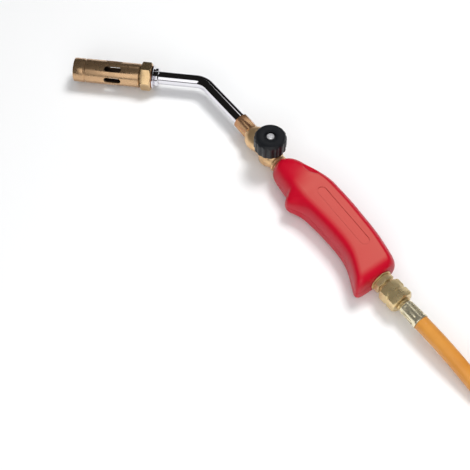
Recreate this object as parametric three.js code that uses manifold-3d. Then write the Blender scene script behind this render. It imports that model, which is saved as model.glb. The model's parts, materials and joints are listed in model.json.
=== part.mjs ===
// Lampwork torch: a hand torch for glass beads with a slotted brass burner, a bent chrome neck,
// a brass needle valve with a black knob, a red pistol grip in two shells and an orange gas hose.
// It lies on its side, as on a bench. Millimetres, +Z up, floor at z = 0.
import * as THREE from 'three';
import { mergeVertices } from 'three/addons/utils/BufferGeometryUtils.js';
import Module from 'manifold-3d';

const wasm = await Module();
wasm.setup();

// ---- Driving dimensions ---------------------------------------------------------------------

const GAP = 0.3; // what touching pieces keep between them
const AXIS_HEIGHT = 15; // every gas axis lies this high: half the grip's thickness

// The neck enters the valve here. The neck's end and the grip share a direction, seen from above,
// and the valve between them turns a little further.
const VALVE_X = 4.246;
const VALVE_Y = 68.857;
const GRIP_ANGLE = -53.4;
const VALVE_TURN = -2.8;

// The burner's axis meets the valve's axis behind the valve, at the neck's bend.
const BURNER_ANGLE = -7.5;
const NECK_DROP = 57.1; // from the bend's corner to the valve
const NECK_REACH = 122; // from the burner's mouth to the bend's corner
const NECK_BEND = 18;
const NECK_RADIUS = 6;
const NECK_BORE = 4.4;
const NECK_SPIGOT = 4.7; // the turned-down end that enters the valve

const BURNER_RADIUS = 11;
const BURNER_BORE = 9;
const BURNER_LENGTH = 62;
const CRIMP_AT = 10.4; // the rolled groove that holds the flame holder
const SLOT_FROM = 29.2;
const SLOT_TO = 45.2;
const SLOT_WIDTH = 5.6;
const SLOT_COUNT = 6;
const SLOT_PHASE = 7;
const HEX_FROM = 63.2;
const HEX_TO = 73;
const BURNER_HEX = 23; // across flats

const VALVE_HEX = 14; // across flats
const VALVE_HEX_LENGTH = 16.5;
const KNOB_AT = 45.4; // along the valve's axis
const BOSS_RADIUS = 10.3;
const BOSS_TOP = 10;
const SEAT_Z = -3; // heights on the spindle are from the gas axis
const CHAMBER_RADIUS = 4.2;
const SPINDLE_RADIUS = 2.6;
const KNOB_RADIUS = 14.3;
const KNOB_BOTTOM = 10.6;
const KNOB_TOP = 25.2;
const KNOB_FLUTES = 16;
const TAIL_RADIUS = 6.2;
const TAIL_END = 74;

// The grip: distance along the valve's axis, back edge, front edge and half thickness.
const GRIP_STATIONS = [
  [61.6, 1.2, -8.6, 7.8],
  [62.4, 3.8, -11.2, 10.0],
  [64.2, 6.3, -13.2, 11.8],
  [67.5, 8.9, -15.0, 13.4],
  [73.0, 11.4, -16.0, 14.5],
  [80.0, 13.4, -17.0, 15.0],
  [92.0, 17.7, -18.3, 15.0],
  [104.0, 20.3, -18.6, 15.0],
  [118.0, 20.4, -18.2, 15.0],
  [134.0, 19.8, -17.6, 15.0],
  [148.0, 18.6, -17.8, 15.0],
  [160.0, 17.5, -18.6, 15.0],
  [171.0, 16.1, -20.8, 15.0],
  [181.0, 14.2, -24.9, 15.0],
  [190.0, 12.2, -29.6, 15.0],
  [196.0, 10.4, -32.6, 14.6],
  [199.4, 8.8, -33.2, 13.4],
  [201.2, 6.2, -30.8, 11.2],
];
const GRIP_CORNER = 9.8; // how far the rounded edges reach in from the sides
const GRIP_WALL = 2.8;
const GRIP_END = 201.2;
const SEAM = 0.15; // half the gap between the two shells
const HOOK_HALF = 9;
const HOOK_MIDDLE = [105, -12];
const HOOK_OUTLINE = [
  [91, -12], [92.4, -18.4], [94, -22.4], [97, -25.2], [101.6, -25], [107, -22], [114, -18.4],
  [121, -14.5], [121, -12],
];
const LABEL_FROM = [111.8, 1.9];
const LABEL_TO = [170.6, -1.5];
const LABEL_RADIUS = 4.3;
const LABEL_DEPTH = 0.5;
const SCREW_PLACES = [[86, 8.2], [135, 10], [184, 3.8]];

// The inlet's axis is parallel to the valve's and lies beside it.
const INLET_SIDE = -8.8;
const INLET_HEX = 16;
const NUT_FROM = 210.3;
const NUT_TO = 228.2;
const NUT_HEX = 19;
const FERRULE_FROM = 230.9;
const FERRULE_TO = 250;

// The hose: how high its axis is at each distance from the ferrule, then a coil on two ties.
const HOSE_RADIUS = 6.65;
const HOSE_FALL = [
  [0, 15], [12, 15], [24, 14.7], [36, 13.6], [48, 11.8], [60, 9.8], [72, 8], [84, 7], [96, 6.9],
  [108, 7.4], [118, 7.85],
];
const TIE_THICK = 0.9;
const COIL_FLOOR = TIE_THICK + GAP; // the ties pass under the coil
const COIL_RADIUS = 73; // at the middle of the turns
const COIL_TOP = COIL_FLOOR + 4 * HOSE_RADIUS;
const TIE_PLACES = [60, -60]; // degrees round the coil
const TIE_WIDTH = 4.6;
const END_FROM = 1005; // degrees turned where the hose's end lies on the coil
const END_TURN = 1066; // degrees turned where it meets its fitting
const END_HEIGHT = 42.3;
const END_STRAIGHT = 12; // the hose runs straight this far into its fitting
const END_NUT_FROM = 211.5;
const END_NUT_HEX = 24;

const radians = THREE.MathUtils.degToRad;

// ---- Solids ----------------------------------------------------------------------------------

/** A closed geometry as a manifold solid, turned right side out. */
function toSolid(geometry) {
  const bare = geometry.index ? geometry.toNonIndexed() : geometry.clone();
  bare.deleteAttribute('normal');
  bare.deleteAttribute('uv');
  const merged = mergeVertices(bare, 1e-4);
  const vertProperties = Float32Array.from(merged.attributes.position.array);
  const triVerts = Uint32Array.from(merged.index.array);
  if (signedVolume(vertProperties, triVerts) < 0) {
    for (let t = 0; t < triVerts.length; t += 3) {
      [triVerts[t], triVerts[t + 1]] = [triVerts[t + 1], triVerts[t]];
    }
  }
  return new wasm.Manifold(new wasm.Mesh({ numProp: 3, vertProperties, triVerts }));
}

/** Six times the volume inside a triangle mesh; negative when it is inside out. */
function signedVolume(positions, triangles) {
  const corners = [new THREE.Vector3(), new THREE.Vector3(), new THREE.Vector3()];
  let sum = 0;
  for (let t = 0; t < triangles.length; t += 3) {
    corners.forEach((corner, i) => corner.fromArray(positions, 3 * triangles[t + i]));
    sum += corners[0].dot(corners[1].clone().cross(corners[2]));
  }
  return sum;
}

/** A manifold solid as a three.js geometry. */
function toGeometry(solid) {
  const mesh = solid.getMesh();
  const geometry = new THREE.BufferGeometry();
  geometry.setAttribute('position', new THREE.BufferAttribute(Float32Array.from(mesh.vertProperties), 3));
  geometry.setIndex(new THREE.BufferAttribute(Uint32Array.from(mesh.triVerts), 1));
  geometry.computeVertexNormals();
  return geometry;
}

/** A profile of [radius, distance] pairs turned about +X. */
function turned(profile, segments = 28) {
  const points = profile.map(([radius, along]) => new THREE.Vector2(radius, along));
  return toSolid(new THREE.LatheGeometry(points, segments).rotateZ(-Math.PI / 2));
}

/** A profile of [radius, height] pairs turned about +Z. */
function upright(profile, segments = 28) {
  const points = profile.map(([radius, height]) => new THREE.Vector2(radius, height));
  return toSolid(new THREE.LatheGeometry(points, segments).rotateX(Math.PI / 2));
}

/** A ring about +X between two radii, from one distance to another. */
function sleeve(inner, outer, from, to, segments = 28) {
  return turned([[inner, from], [outer, from], [outer, to], [inner, to], [inner, from]], segments);
}

/** A solid round bar about +X. */
function bar(radius, from, to, segments = 28) {
  return turned([[0, from], [radius, from], [radius, to], [0, to]], segments);
}

/** A hexagonal bar about +X with chamfered ends; corner is one corner's angle up from -Y. */
function hexBar(acrossFlats, from, to, corner, chamfer = [0.1, 0.1]) {
  const radius = acrossFlats / Math.sqrt(3);
  const outline = new THREE.Shape();
  for (let i = 0; i < 6; i++) {
    const angle = radians(corner + 60 * i);
    const x = -radius * Math.sin(angle);
    const y = -radius * Math.cos(angle);
    if (i === 0) outline.moveTo(x, y);
    else outline.lineTo(x, y);
  }
  const prism = new THREE.ExtrudeGeometry(outline, { depth: to - from, bevelEnabled: false });
  prism.rotateY(Math.PI / 2).translate(from, 0, 0);
  const flat = acrossFlats / 2;
  const [start, end] = chamfer;
  const turnedDown = turned([
    [0, from], [flat - 0.1, from], [radius + 0.05, from + start * radius],
    [radius + 0.05, to - end * radius], [flat - 0.1, to], [0, to],
  ], 24);
  return toSolid(prism).intersect(turnedDown);
}

/** A prism with rounded ends between two points of the XY plane, from one height to another. */
function stadium(start, end, radius, low, high, arcs = 6) {
  const [x0, y0] = start;
  const [x1, y1] = end;
  const heading = Math.atan2(y1 - y0, x1 - x0);
  const outline = new THREE.Shape();
  outline.absarc(x1, y1, radius, heading - Math.PI / 2, heading + Math.PI / 2, false);
  outline.absarc(x0, y0, radius, heading + Math.PI / 2, heading + 1.5 * Math.PI, false);
  const settings = { depth: high - low, bevelEnabled: false, curveSegments: arcs };
  return toSolid(new THREE.ExtrudeGeometry(outline, settings).translate(0, 0, low));
}

/** A round bar or pipe along a curve. */
function swept(curve, radius, bore, steps, sides) {
  const section = new THREE.Shape();
  section.absarc(0, 0, radius, 0, 2 * Math.PI, false);
  if (bore > 0) {
    const hole = new THREE.Path();
    hole.absarc(0, 0, bore, 0, 2 * Math.PI, true);
    section.holes.push(hole);
  }
  const settings = { steps, extrudePath: curve, curveSegments: sides, bevelEnabled: false };
  return toSolid(new THREE.ExtrudeGeometry(section, settings));
}

/** Straight stretches through the points, joined by arcs of one radius. */
function bentPath(points, radius) {
  const path = new THREE.CurvePath();
  let from = points[0];
  for (let i = 1; i < points.length - 1; i++) {
    const into = points[i].clone().sub(points[i - 1]).normalize();
    const out = points[i + 1].clone().sub(points[i]).normalize();
    const angle = into.angleTo(out);
    const tangent = radius * Math.tan(angle / 2);
    const handle = (4 / 3) * Math.tan(angle / 4) * radius;
    const start = points[i].clone().addScaledVector(into, -tangent);
    const end = points[i].clone().addScaledVector(out, tangent);
    path.add(new THREE.LineCurve3(from, start));
    const first = start.clone().addScaledVector(into, handle);
    const second = end.clone().addScaledVector(out, -handle);
    path.add(new THREE.CubicBezierCurve3(start, first, second, end));
    from = end;
  }
  path.add(new THREE.LineCurve3(from, points[points.length - 1]));
  return path;
}

/** A closed solid through rings that all have the same number of points. */
function loft(rings) {
  const sides = rings[0].length;
  const positions = [];
  const triangles = [];
  rings.forEach((ring) => ring.forEach((point) => positions.push(point.x, point.y, point.z)));
  for (let r = 0; r + 1 < rings.length; r++) {
    for (let i = 0; i < sides; i++) {
      const j = (i + 1) % sides;
      const a = r * sides;
      const b = a + sides;
      triangles.push(a + i, b + i, b + j, a + i, b + j, a + j);
    }
  }
  [0, rings.length - 1].forEach((r, end) => {
    const centre = rings[r].reduce((sum, p) => sum.add(p), new THREE.Vector3()).divideScalar(sides);
    const hub = positions.length / 3;
    positions.push(centre.x, centre.y, centre.z);
    for (let i = 0; i < sides; i++) {
      const j = (i + 1) % sides;
      const edge = end === 0 ? [r * sides + i, r * sides + j] : [r * sides + j, r * sides + i];
      triangles.push(hub, ...edge);
    }
  });
  const geometry = new THREE.BufferGeometry();
  geometry.setAttribute('position', new THREE.Float32BufferAttribute(positions, 3));
  geometry.setIndex(triangles);
  return toSolid(geometry);
}

/** Moves a solid, after turning it about +X by degrees. */
function moved(solid, x, y, z, turnX = 0) {
  return solid.rotate([turnX, 0, 0]).translate([x, y, z]);
}

// ---- Materials and placing -------------------------------------------------------------------

const FINISHES = {
  brass: { color: 0xc79a5b, metalness: 1, roughness: 0.3 },
  brightBrass: { color: 0xcfae72, metalness: 1, roughness: 0.24 },
  copper: { color: 0xb4663c, metalness: 1, roughness: 0.4 },
  chrome: { color: 0xdfe0e6, metalness: 1, roughness: 0.06 },
  steel: { color: 0xb9bbc0, metalness: 1, roughness: 0.25 },
  yellowZinc: { color: 0xcdbf93, metalness: 1, roughness: 0.28 },
  redPlastic: { color: 0xb80f22, metalness: 0, roughness: 0.28 },
  blackPlastic: { color: 0x17181b, metalness: 0, roughness: 0.4 },
  blackRubber: { color: 0x1c1c1c, metalness: 0, roughness: 0.7 },
  whiteSeal: { color: 0xe6e4dc, metalness: 0, roughness: 0.5 },
  orangeRubber: { color: 0xd98a35, metalness: 0, roughness: 0.5 },
};

/** Adds a solid to a group as one named mesh with a material of its own. */
function add(group, name, solid, finish) {
  const mesh = new THREE.Mesh(toGeometry(solid), new THREE.MeshStandardMaterial(FINISHES[finish]));
  mesh.name = name;
  group.add(mesh);
  return mesh;
}

/** A group at a place in the floor's plan, turned to a heading in degrees. */
function frameAt(x, y, z, heading) {
  const frame = new THREE.Group();
  frame.position.set(x, y, z);
  frame.rotation.z = radians(heading);
  return frame;
}

// ---- Burner: +X runs from the mouth to the neck ------------------------------------------------

function burnerTube() {
  let tube = turned([
    [BURNER_BORE, 0.4], [BURNER_BORE + 0.4, 0], [BURNER_RADIUS - 0.4, 0], [BURNER_RADIUS, 0.4],
    [BURNER_RADIUS, CRIMP_AT - 0.8], [BURNER_RADIUS - 0.5, CRIMP_AT], [BURNER_RADIUS, CRIMP_AT + 0.8],
    [BURNER_RADIUS, BURNER_LENGTH - 0.4], [BURNER_RADIUS - 0.4, BURNER_LENGTH],
    [BURNER_BORE, BURNER_LENGTH], [BURNER_BORE, 0.4],
  ], 36);
  const half = SLOT_WIDTH / 2;
  const [inside, outside] = [BURNER_BORE - 3, BURNER_RADIUS + 3];
  const slot = stadium([SLOT_FROM + half, 0], [SLOT_TO - half, 0], half, inside, outside, 4);
  for (let i = 0; i < SLOT_COUNT; i++) {
    const up = SLOT_PHASE + (360 / SLOT_COUNT) * i;
    tube = tube.subtract(moved(slot, 0, 0, 0, 90 - up));
  }
  return tube;
}

/** A disc with a ring of ports, held in the mouth; it keeps the flame on the burner. */
function flameHolder() {
  const rim = BURNER_BORE - 0.25;
  const from = CRIMP_AT - 4;
  let holder = turned([
    [0, from + 1], [rim - 1.6, from + 1], [rim - 1.2, from], [rim, from], [rim, from + 8],
    [rim - 1.2, from + 8], [rim - 1.2, from + 3.5], [0, from + 3.5],
  ], 20);
  const port = bar(1.1, from - 1, from + 5, 6);
  for (let i = 0; i < 8; i++) {
    const angle = radians(45 * i);
    holder = holder.subtract(moved(port, 0, 5.2 * Math.cos(angle), 5.2 * Math.sin(angle)));
  }
  return holder.subtract(bar(2.1, from - 1, from + 5, 10));
}

/** The jet that sprays the gas up the burner past the air slots. */
function gasJet() {
  const body = turned([
    [0.6, 45], [1.6, 45], [2.4, 46], [2.9, 50], [4.4, 51], [4.4, 62], [3.4, 62],
    [3.4, 53], [0.6, 50], [0.6, 45],
  ], 16);
  return body;
}

/** The hexagon that closes the burner, with a spigot inside the tube. */
function burnerHex() {
  const spigot = BURNER_BORE - GAP;
  const nut = hexBar(BURNER_HEX, HEX_FROM, HEX_TO, 14, [0.06, 0.12]);
  const neck = bar(spigot, 52, HEX_FROM + 0.6, 24);
  return nut.add(neck).subtract(bar(4.7, 51, 67, 16)).subtract(bar(7.1, 64.8, HEX_TO + 1, 24));
}

/** The chromed collar of the neck: a flange against the hexagon, then a round bead. */
function neckCollar() {
  const bore = NECK_RADIUS + 0.25;
  const flange = HEX_TO + 0.9;
  return turned([
    [bore, 66], [6.8, 66], [6.8, flange], [10.6, flange], [11.2, flange + 0.5], [11.0, flange + 1.2],
    [8.2, flange + 2.1], [8.4, flange + 2.6], [8.5, flange + 3.7], [8.2, flange + 4.9],
    [7.4, flange + 5.6], [bore, flange + 5.6], [bore, 66],
  ], 24);
}

function burnerSeal() {
  return sleeve(7.2, 10.4, HEX_TO + 0.2, HEX_TO + 0.65, 24);
}

// ---- Neck: +X runs on to the valve, which starts at the origin ---------------------------------

function neckTube() {
  const lean = radians(BURNER_ANGLE - GRIP_ANGLE);
  const corner = new THREE.Vector3(-NECK_DROP, 0, 0);
  const hidden = NECK_REACH - 66.5; // as far as the collar's spigot
  const start = corner.clone().add(new THREE.Vector3(-hidden * Math.cos(lean), -hidden * Math.sin(lean), 0));
  const end = new THREE.Vector3(-2 * GAP, 0, 0);
  const pipe = swept(bentPath([start, corner, end], NECK_BEND), NECK_RADIUS, NECK_BORE, 16, 8);
  const spigot = sleeve(NECK_SPIGOT - 1.2, NECK_SPIGOT, -1.5, 8, 16);
  const shoulder = sleeve(NECK_SPIGOT - 1.2, NECK_RADIUS - 0.8, -1.5, -2 * GAP, 16);
  return pipe.add(spigot).add(shoulder);
}

// ---- Valve: +X runs from the neck to the grip, the knob stands on +Z ---------------------------

function valveBody() {
  const barrel = turned([
    [0, VALVE_HEX_LENGTH - 2], [7.2, VALVE_HEX_LENGTH - 1], [7.8, VALVE_HEX_LENGTH + 0.8],
    [9.9, 19.8], [10.6, 23], [10.4, 28.5], [8.8, 34], [8.8, 47], [9.4, 51], [8.4, 54.6], [6.8, 56],
    [6.6, 57], [7.9, 57.6], [8.3, 58.7], [7.9, 59.8], [TAIL_RADIUS, 60.4], [TAIL_RADIUS, TAIL_END],
    [0, TAIL_END],
  ], 24);
  const boss = moved(upright([
    [0, -9.2], [7.6, -9.2], [BOSS_RADIUS - 0.5, -6.8], [BOSS_RADIUS, 2], [BOSS_RADIUS, BOSS_TOP - 0.8],
    [BOSS_RADIUS - 0.8, BOSS_TOP], [0, BOSS_TOP],
  ], 24), KNOB_AT, 0, 0);
  const hexagon = hexBar(VALVE_HEX, 0, VALVE_HEX_LENGTH, 60, [0.14, 0.02]);
  const chamber = moved(upright([
    [0, SEAT_Z - 2.2], [1.6, SEAT_Z - 2.2], [1.6, SEAT_Z], [CHAMBER_RADIUS, SEAT_Z + 0.6],
    [CHAMBER_RADIUS, 7.2], [5.2, 7.2], [5.2, BOSS_TOP + 1], [0, BOSS_TOP + 1],
  ], 20), KNOB_AT, 0, 0);
  const outlet = moved(bar(1.2, 7, KNOB_AT, 10), 0, 0, SEAT_Z - 1.2);
  const inlet = bar(2.2, KNOB_AT, TAIL_END + 1, 12);
  const socket = bar(NECK_SPIGOT + 0.25, -2, 8.8, 16).rotate([0, 0, -VALVE_TURN]);
  const counterbore = bar(4.8, 67, TAIL_END + 1, 16);
  return barrel.add(boss).add(hexagon).subtract(chamber).subtract(outlet).subtract(inlet)
    .subtract(socket).subtract(counterbore);
}

/** The needle: a cone on the seat, a groove for the seal and a stem into the knob. */
function valveSpindle() {
  const needle = upright([
    [0, SEAT_Z - 1.4], [0.6, SEAT_Z - 1.2], [1.3, SEAT_Z + 0.1], [3.6, SEAT_Z + 1.2], [3.9, SEAT_Z + 2],
    [3.9, 3.0], [2.3, 3.1], [2.3, 5.3], [3.9, 5.4], [3.9, 6.0], [SPINDLE_RADIUS, 6.2],
    [SPINDLE_RADIUS, 22.6], [0, 22.6],
  ], 16);
  return needle.subtract(upright([[0, 15.6], [1.5, 16.4], [1.5, 23], [0, 23]], 10));
}

function spindleSeal() {
  const ring = [];
  for (let i = 0; i <= 6; i++) {
    const angle = (2 * Math.PI * i) / 6;
    ring.push([3.25 + 0.8 * Math.cos(angle), 4.2 + 0.85 * Math.sin(angle)]);
  }
  return upright(ring, 16);
}

/** The gland nut over the spindle, screwed into the boss under the knob. */
function glandNut() {
  const hexagon = hexBar(14, BOSS_TOP + GAP, 14.6, 0, [0.02, 0.08]).rotate([0, -90, 0]);
  const thread = upright([[0, 7.8], [4.6, 7.8], [4.9, 8.1], [4.9, BOSS_TOP + 1], [0, BOSS_TOP + 1]], 16);
  const bore = upright([[0, 7], [4.1, 7], [4.1, 10.2], [2.9, 10.2], [2.9, 16], [0, 16]], 16);
  return hexagon.add(thread).subtract(bore);
}

function glandPacking() {
  return upright([[2.85, 8], [3.85, 8], [3.85, 9.9], [2.85, 9.9], [2.85, 8]], 16);
}

/** The knob: a fluted cap, hollow below, with a recess for its screw. */
function knob() {
  const outline = new THREE.Shape();
  const perFlute = 4;
  for (let i = 0; i < KNOB_FLUTES * perFlute; i++) {
    const angle = (2 * Math.PI * i) / (KNOB_FLUTES * perFlute);
    const dip = Math.max(0, Math.cos(KNOB_FLUTES * angle));
    const radius = KNOB_RADIUS - 0.7 * dip;
    const x = radius * Math.cos(angle);
    const y = radius * Math.sin(angle);
    if (i === 0) outline.moveTo(x, y);
    else outline.lineTo(x, y);
  }
  const height = KNOB_TOP - KNOB_BOTTOM;
  const fluted = toSolid(new THREE.ExtrudeGeometry(outline, { depth: height, bevelEnabled: false })
    .translate(0, 0, KNOB_BOTTOM));
  const crown = upright([
    [0, KNOB_BOTTOM], [KNOB_RADIUS - 0.5, KNOB_BOTTOM], [KNOB_RADIUS, KNOB_BOTTOM + 0.6],
    [KNOB_RADIUS, KNOB_TOP - 2.2], [KNOB_RADIUS - 0.5, KNOB_TOP - 0.7],
    [KNOB_RADIUS - 1.5, KNOB_TOP], [0, KNOB_TOP],
  ], 32);
  const hollow = upright([
    [0, KNOB_BOTTOM - 1], [11, KNOB_BOTTOM - 1], [11, 18], [4.6, 19], [0, 19],
  ], 20);
  const hub = upright([[0, 15.6], [4.4, 15.6], [4.4, 19.2], [0, 19.2]], 16);
  const bore = upright([[0, 14], [SPINDLE_RADIUS + 0.2, 14], [SPINDLE_RADIUS + 0.2, 23], [0, 23]], 16);
  const recess = upright([[0, 22.9], [4.7, 22.9], [4.9, KNOB_TOP + 1], [0, KNOB_TOP + 1]], 18);
  return fluted.intersect(crown).subtract(hollow).add(hub).subtract(bore).subtract(recess);
}

function knobWasher() {
  return upright([[1.6, 23.1], [4.2, 23.1], [4.2, 23.5], [1.6, 23.5], [1.6, 23.1]], 16);
}

/** The pan-head screw with a cross recess that holds the knob. */
function knobScrew() {
  const head = upright([
    [0, 16.8], [1.2, 17.4], [1.2, 23.7], [3.3, 23.7], [3.3, 24.6], [2.6, 25.4], [1.2, 25.7], [0, 25.7],
  ], 16);
  const arm = stadium([-1.3, 0], [1.3, 0], 0.45, 24.8, 26.5, 3);
  return head.subtract(arm).subtract(arm.rotate([0, 0, 90]));
}

// ---- Grip: the neck's frame, past the valve ----------------------------------------------------

/** One cross-section of the grip, as a flat-sided form with rounded edges. */
function gripRing([along, back, front, half], inset) {
  const middle = (back + front) / 2;
  const width = (back - front) / 2 - inset;
  const height = half - inset;
  const corner = Math.min(width, GRIP_CORNER);
  const ring = [];
  for (let quarter = 0; quarter < 4; quarter++) {
    const side = quarter === 0 || quarter === 3 ? 1 : -1;
    for (let step = 0; step <= 4; step++) {
      const angle = (Math.PI / 2) * (quarter + step / 4);
      const across = middle + side * (width - corner) + corner * Math.cos(angle);
      if (step < 4 || quarter % 2 === 0) {
        ring.push(new THREE.Vector3(along, across, height * Math.sin(angle)));
      }
    }
  }
  return ring;
}

/** The grip's body between two distances, kept inside its own surface by inset. */
function gripBody(inset, from, to) {
  const stations = GRIP_STATIONS.filter(([along]) => along > from && along < to);
  const ends = [from, to].map((along) => [along, ...stationAt(along)]);
  return loft([ends[0], ...stations, ends[1]].map((station) => gripRing(station, inset)));
}

/** Back edge, front edge and half thickness at any distance along the grip. */
function stationAt(along) {
  const last = GRIP_STATIONS.length - 2;
  const next = GRIP_STATIONS.findIndex(([at], i) => i > 0 && along <= at);
  const row = next < 0 ? last : next - 1;
  const [before, after] = [GRIP_STATIONS[row], GRIP_STATIONS[row + 1]];
  const part = THREE.MathUtils.clamp((along - before[0]) / (after[0] - before[0]), 0, 1);
  return [1, 2, 3].map((column) => THREE.MathUtils.lerp(before[column], after[column], part));
}

/** The hook that keeps the first finger off the valve, with its edges rounded in three steps. */
function fingerHook() {
  const layer = (height, size) => [height, -height].flatMap((z) => HOOK_OUTLINE.map(([x, y]) => [
    HOOK_MIDDLE[0] + size * (x - HOOK_MIDDLE[0]), HOOK_MIDDLE[1] + size * (y - HOOK_MIDDLE[1]), z,
  ]));
  return wasm.Manifold.hull([
    ...layer(HOOK_HALF - 3.2, 1), ...layer(HOOK_HALF - 1, 0.93), ...layer(HOOK_HALF, 0.84),
  ]);
}

/** Where the thumb rests: a shallow dish in the back edge's shoulder, on each side. */
function thumbDishes() {
  const ball = new THREE.SphereGeometry(1, 16, 10).scale(12.5, 9, 6).rotateZ(radians(15));
  const upper = toSolid(ball.translate(88.5, 16.4, 18));
  return upper.add(upper.mirror([0, 0, 1]));
}

/** The whole grip, hollow, before it is parted into its two shells. */
function gripHollow() {
  const hollow = gripBody(GRIP_WALL, 65.5, GRIP_END - 2.6);
  const bosses = SCREW_PLACES.map(([x, y]) => moved(upright([
    [0, -13.5], [3.6, -13.5], [3.6, 13.5], [0, 13.5],
  ], 12), x, y, 0));
  const nose = bar(TAIL_RADIUS + GAP, 58, 68, 20).rotate([0, 0, VALVE_TURN]);
  const inlet = moved(bar(6.4 + GAP, 194, GRIP_END + 2, 20), 0, INLET_SIDE, 0);
  let grip = gripBody(0, GRIP_STATIONS[0][0], GRIP_END).add(fingerHook()).subtract(thumbDishes());
  grip = grip.subtract(hollow);
  bosses.forEach((boss) => {
    grip = grip.add(boss);
  });
  return grip.subtract(nose).subtract(inlet);
}

const GRIP_FULL = gripHollow();

/** Everything above or below a height, as a block that is wider than the grip. */
function halfSpace(from, to) {
  return toSolid(new THREE.BoxGeometry(200, 120, to - from).translate(131, 0, (from + to) / 2));
}

/** The shell with the long sunk field on its side; its bosses take the screws. */
function upperShell() {
  let shell = GRIP_FULL.intersect(halfSpace(SEAM, 20));
  shell = shell.subtract(stadium(LABEL_FROM, LABEL_TO, LABEL_RADIUS, 15 - LABEL_DEPTH, 16, 8));
  SCREW_PLACES.forEach(([x, y]) => {
    shell = shell.subtract(moved(upright([[0, -1], [1.5, -1], [1.5, 9], [0, 9.6]], 12), x, y, 0));
  });
  return shell;
}

/** The shell with the same field, and three sunk holes for the screws. */
function lowerShell() {
  let shell = GRIP_FULL.intersect(halfSpace(-20, -SEAM));
  shell = shell.subtract(stadium(LABEL_FROM, LABEL_TO, LABEL_RADIUS, -16, LABEL_DEPTH - 15, 8));
  SCREW_PLACES.forEach(([x, y]) => {
    shell = shell.subtract(moved(upright([
      [0, -16], [3, -16], [3, -10], [1.5, -10], [1.5, 1], [0, 1],
    ], 12), x, y, 0));
  });
  return shell;
}

function shellScrew() {
  const screw = upright([
    [0, -12.2], [2, -12.2], [2.7, -11.6], [2.7, -9.9 - GAP], [1.2, -9.9 - GAP], [1.2, 7], [0, 8],
  ], 12);
  return screw.subtract(stadium([-1, 0], [1, 0], 0.35, -13, -11.2, 3));
}

/** The pipe through the grip from the inlet to the valve. */
function gripPipe() {
  const fromValve = (distance) => new THREE.Vector3(
    distance * Math.cos(radians(VALVE_TURN)), distance * Math.sin(radians(VALVE_TURN)), 0,
  );
  const path = bentPath([
    fromValve(67.4), fromValve(95), new THREE.Vector3(165, INLET_SIDE, 0),
    new THREE.Vector3(188, INLET_SIDE, 0),
  ], 60);
  return swept(path, 4.4, 3, 12, 5);
}

// ---- Inlet: the grip's direction, on an axis of its own ----------------------------------------

function inletWasher() {
  return sleeve(6.6, 9.9, GRIP_END + GAP, GRIP_END + GAP + 0.9, 24);
}

/** The connector: a shank inside the grip, a hexagon outside it and a cone inside the hose nut. */
function inletConnector() {
  const hexFrom = GRIP_END + 1.4;
  const hexTo = hexFrom + 5.4;
  const hexagon = hexBar(INLET_HEX, hexFrom, hexTo, 30, [0.06, 0.1]);
  const body = turned([
    [0, 187], [6.0, 187], [6.3, 187.4], [6.3, hexFrom + 0.5], [6.4, hexTo - 0.5], [6.4, 209],
    [7.9, 209.6], [8.1, 210.6], [8.1, 218.4], [7.4, 219], [0, 219],
  ], 24);
  const bore = turned([[0, 185], [4.7, 185], [4.7, 190], [2.6, 191], [2.6, 215], [5.6, 220], [0, 220]], 16);
  return body.add(hexagon).subtract(bore);
}

/** The hose nut: a left-hand nut, known by the notch round its corners. */
function hoseNut() {
  const middle = (NUT_FROM + NUT_TO) / 2;
  const corner = NUT_HEX / Math.sqrt(3);
  const notch = turned([
    [corner - 1.1, middle - 0.4], [corner - 1.1, middle + 0.4], [corner + 1, middle + 2.2],
    [corner + 1, middle - 2.2], [corner - 1.1, middle - 0.4],
  ], 24);
  const bore = turned([
    [0, NUT_FROM - 1], [8.9, NUT_FROM - 1], [8.5, NUT_FROM + 0.8], [8.5, 220.5], [7.8, 222], [5.6, 224.4],
    [5.2, 225], [5.2, NUT_TO + 1], [0, NUT_TO + 1],
  ], 20);
  return hexBar(NUT_HEX, NUT_FROM, NUT_TO, 30, [0.09, 0.12]).subtract(notch).subtract(bore);
}

/** The hose tail: a nipple that the nut pulls on the cone, a shoulder and a barbed stem. */
function hoseTail() {
  const profile = [
    [2.4, 219.3], [3.2, 219.3], [7.2, 221.4], [7.2, 221.9], [4.9, 224.4], [4.9, NUT_TO + 0.4],
    [6.3, NUT_TO + 0.6], [6.3, FERRULE_FROM - GAP], [3.4, FERRULE_FROM - GAP],
  ];
  for (let i = 0; i < 3; i++) {
    const at = FERRULE_FROM + 2 + 5 * i;
    profile.push([3.5, at], [3, at + 0.8]);
  }
  profile.push([3, FERRULE_TO - 1], [2.4, FERRULE_TO - 1], [2.4, 219.3]);
  return turned(profile, 20);
}

/** The crimped ferrule, with six long windows pressed into it. */
function hoseFerrule() {
  const from = FERRULE_FROM;
  const length = FERRULE_TO - FERRULE_FROM;
  let ferrule = turned([
    [3.8, from], [5.7, from], [6.1, from + 0.5], [6.35, from + 2], [6.9, from + length - 2.4],
    [7.35, from + length - 1], [7.35, from + length], [6.7, from + length], [3.8, from + length - 0.6],
    [3.8, from],
  ], 20);
  const window = stadium([from + 4.6, 0], [from + length - 6.2, 0], 1.6, 6.1, 9, 3);
  for (let i = 0; i < 6; i++) {
    ferrule = ferrule.subtract(moved(window, 0, 0, 0, 60 * i + 30));
  }
  return ferrule;
}

// ---- Hose: the row's own frame ---------------------------------------------------------------

/** The point of the hose's straight stretch at a distance from the ferrule, at a height. */
function hosePoint(distance, height) {
  const heading = radians(GRIP_ANGLE);
  const along = FERRULE_TO + GAP + distance;
  return new THREE.Vector3(
    VALVE_X + along * Math.cos(heading) - INLET_SIDE * Math.sin(heading),
    VALVE_Y + along * Math.sin(heading) + INLET_SIDE * Math.cos(heading),
    height,
  );
}

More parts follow.
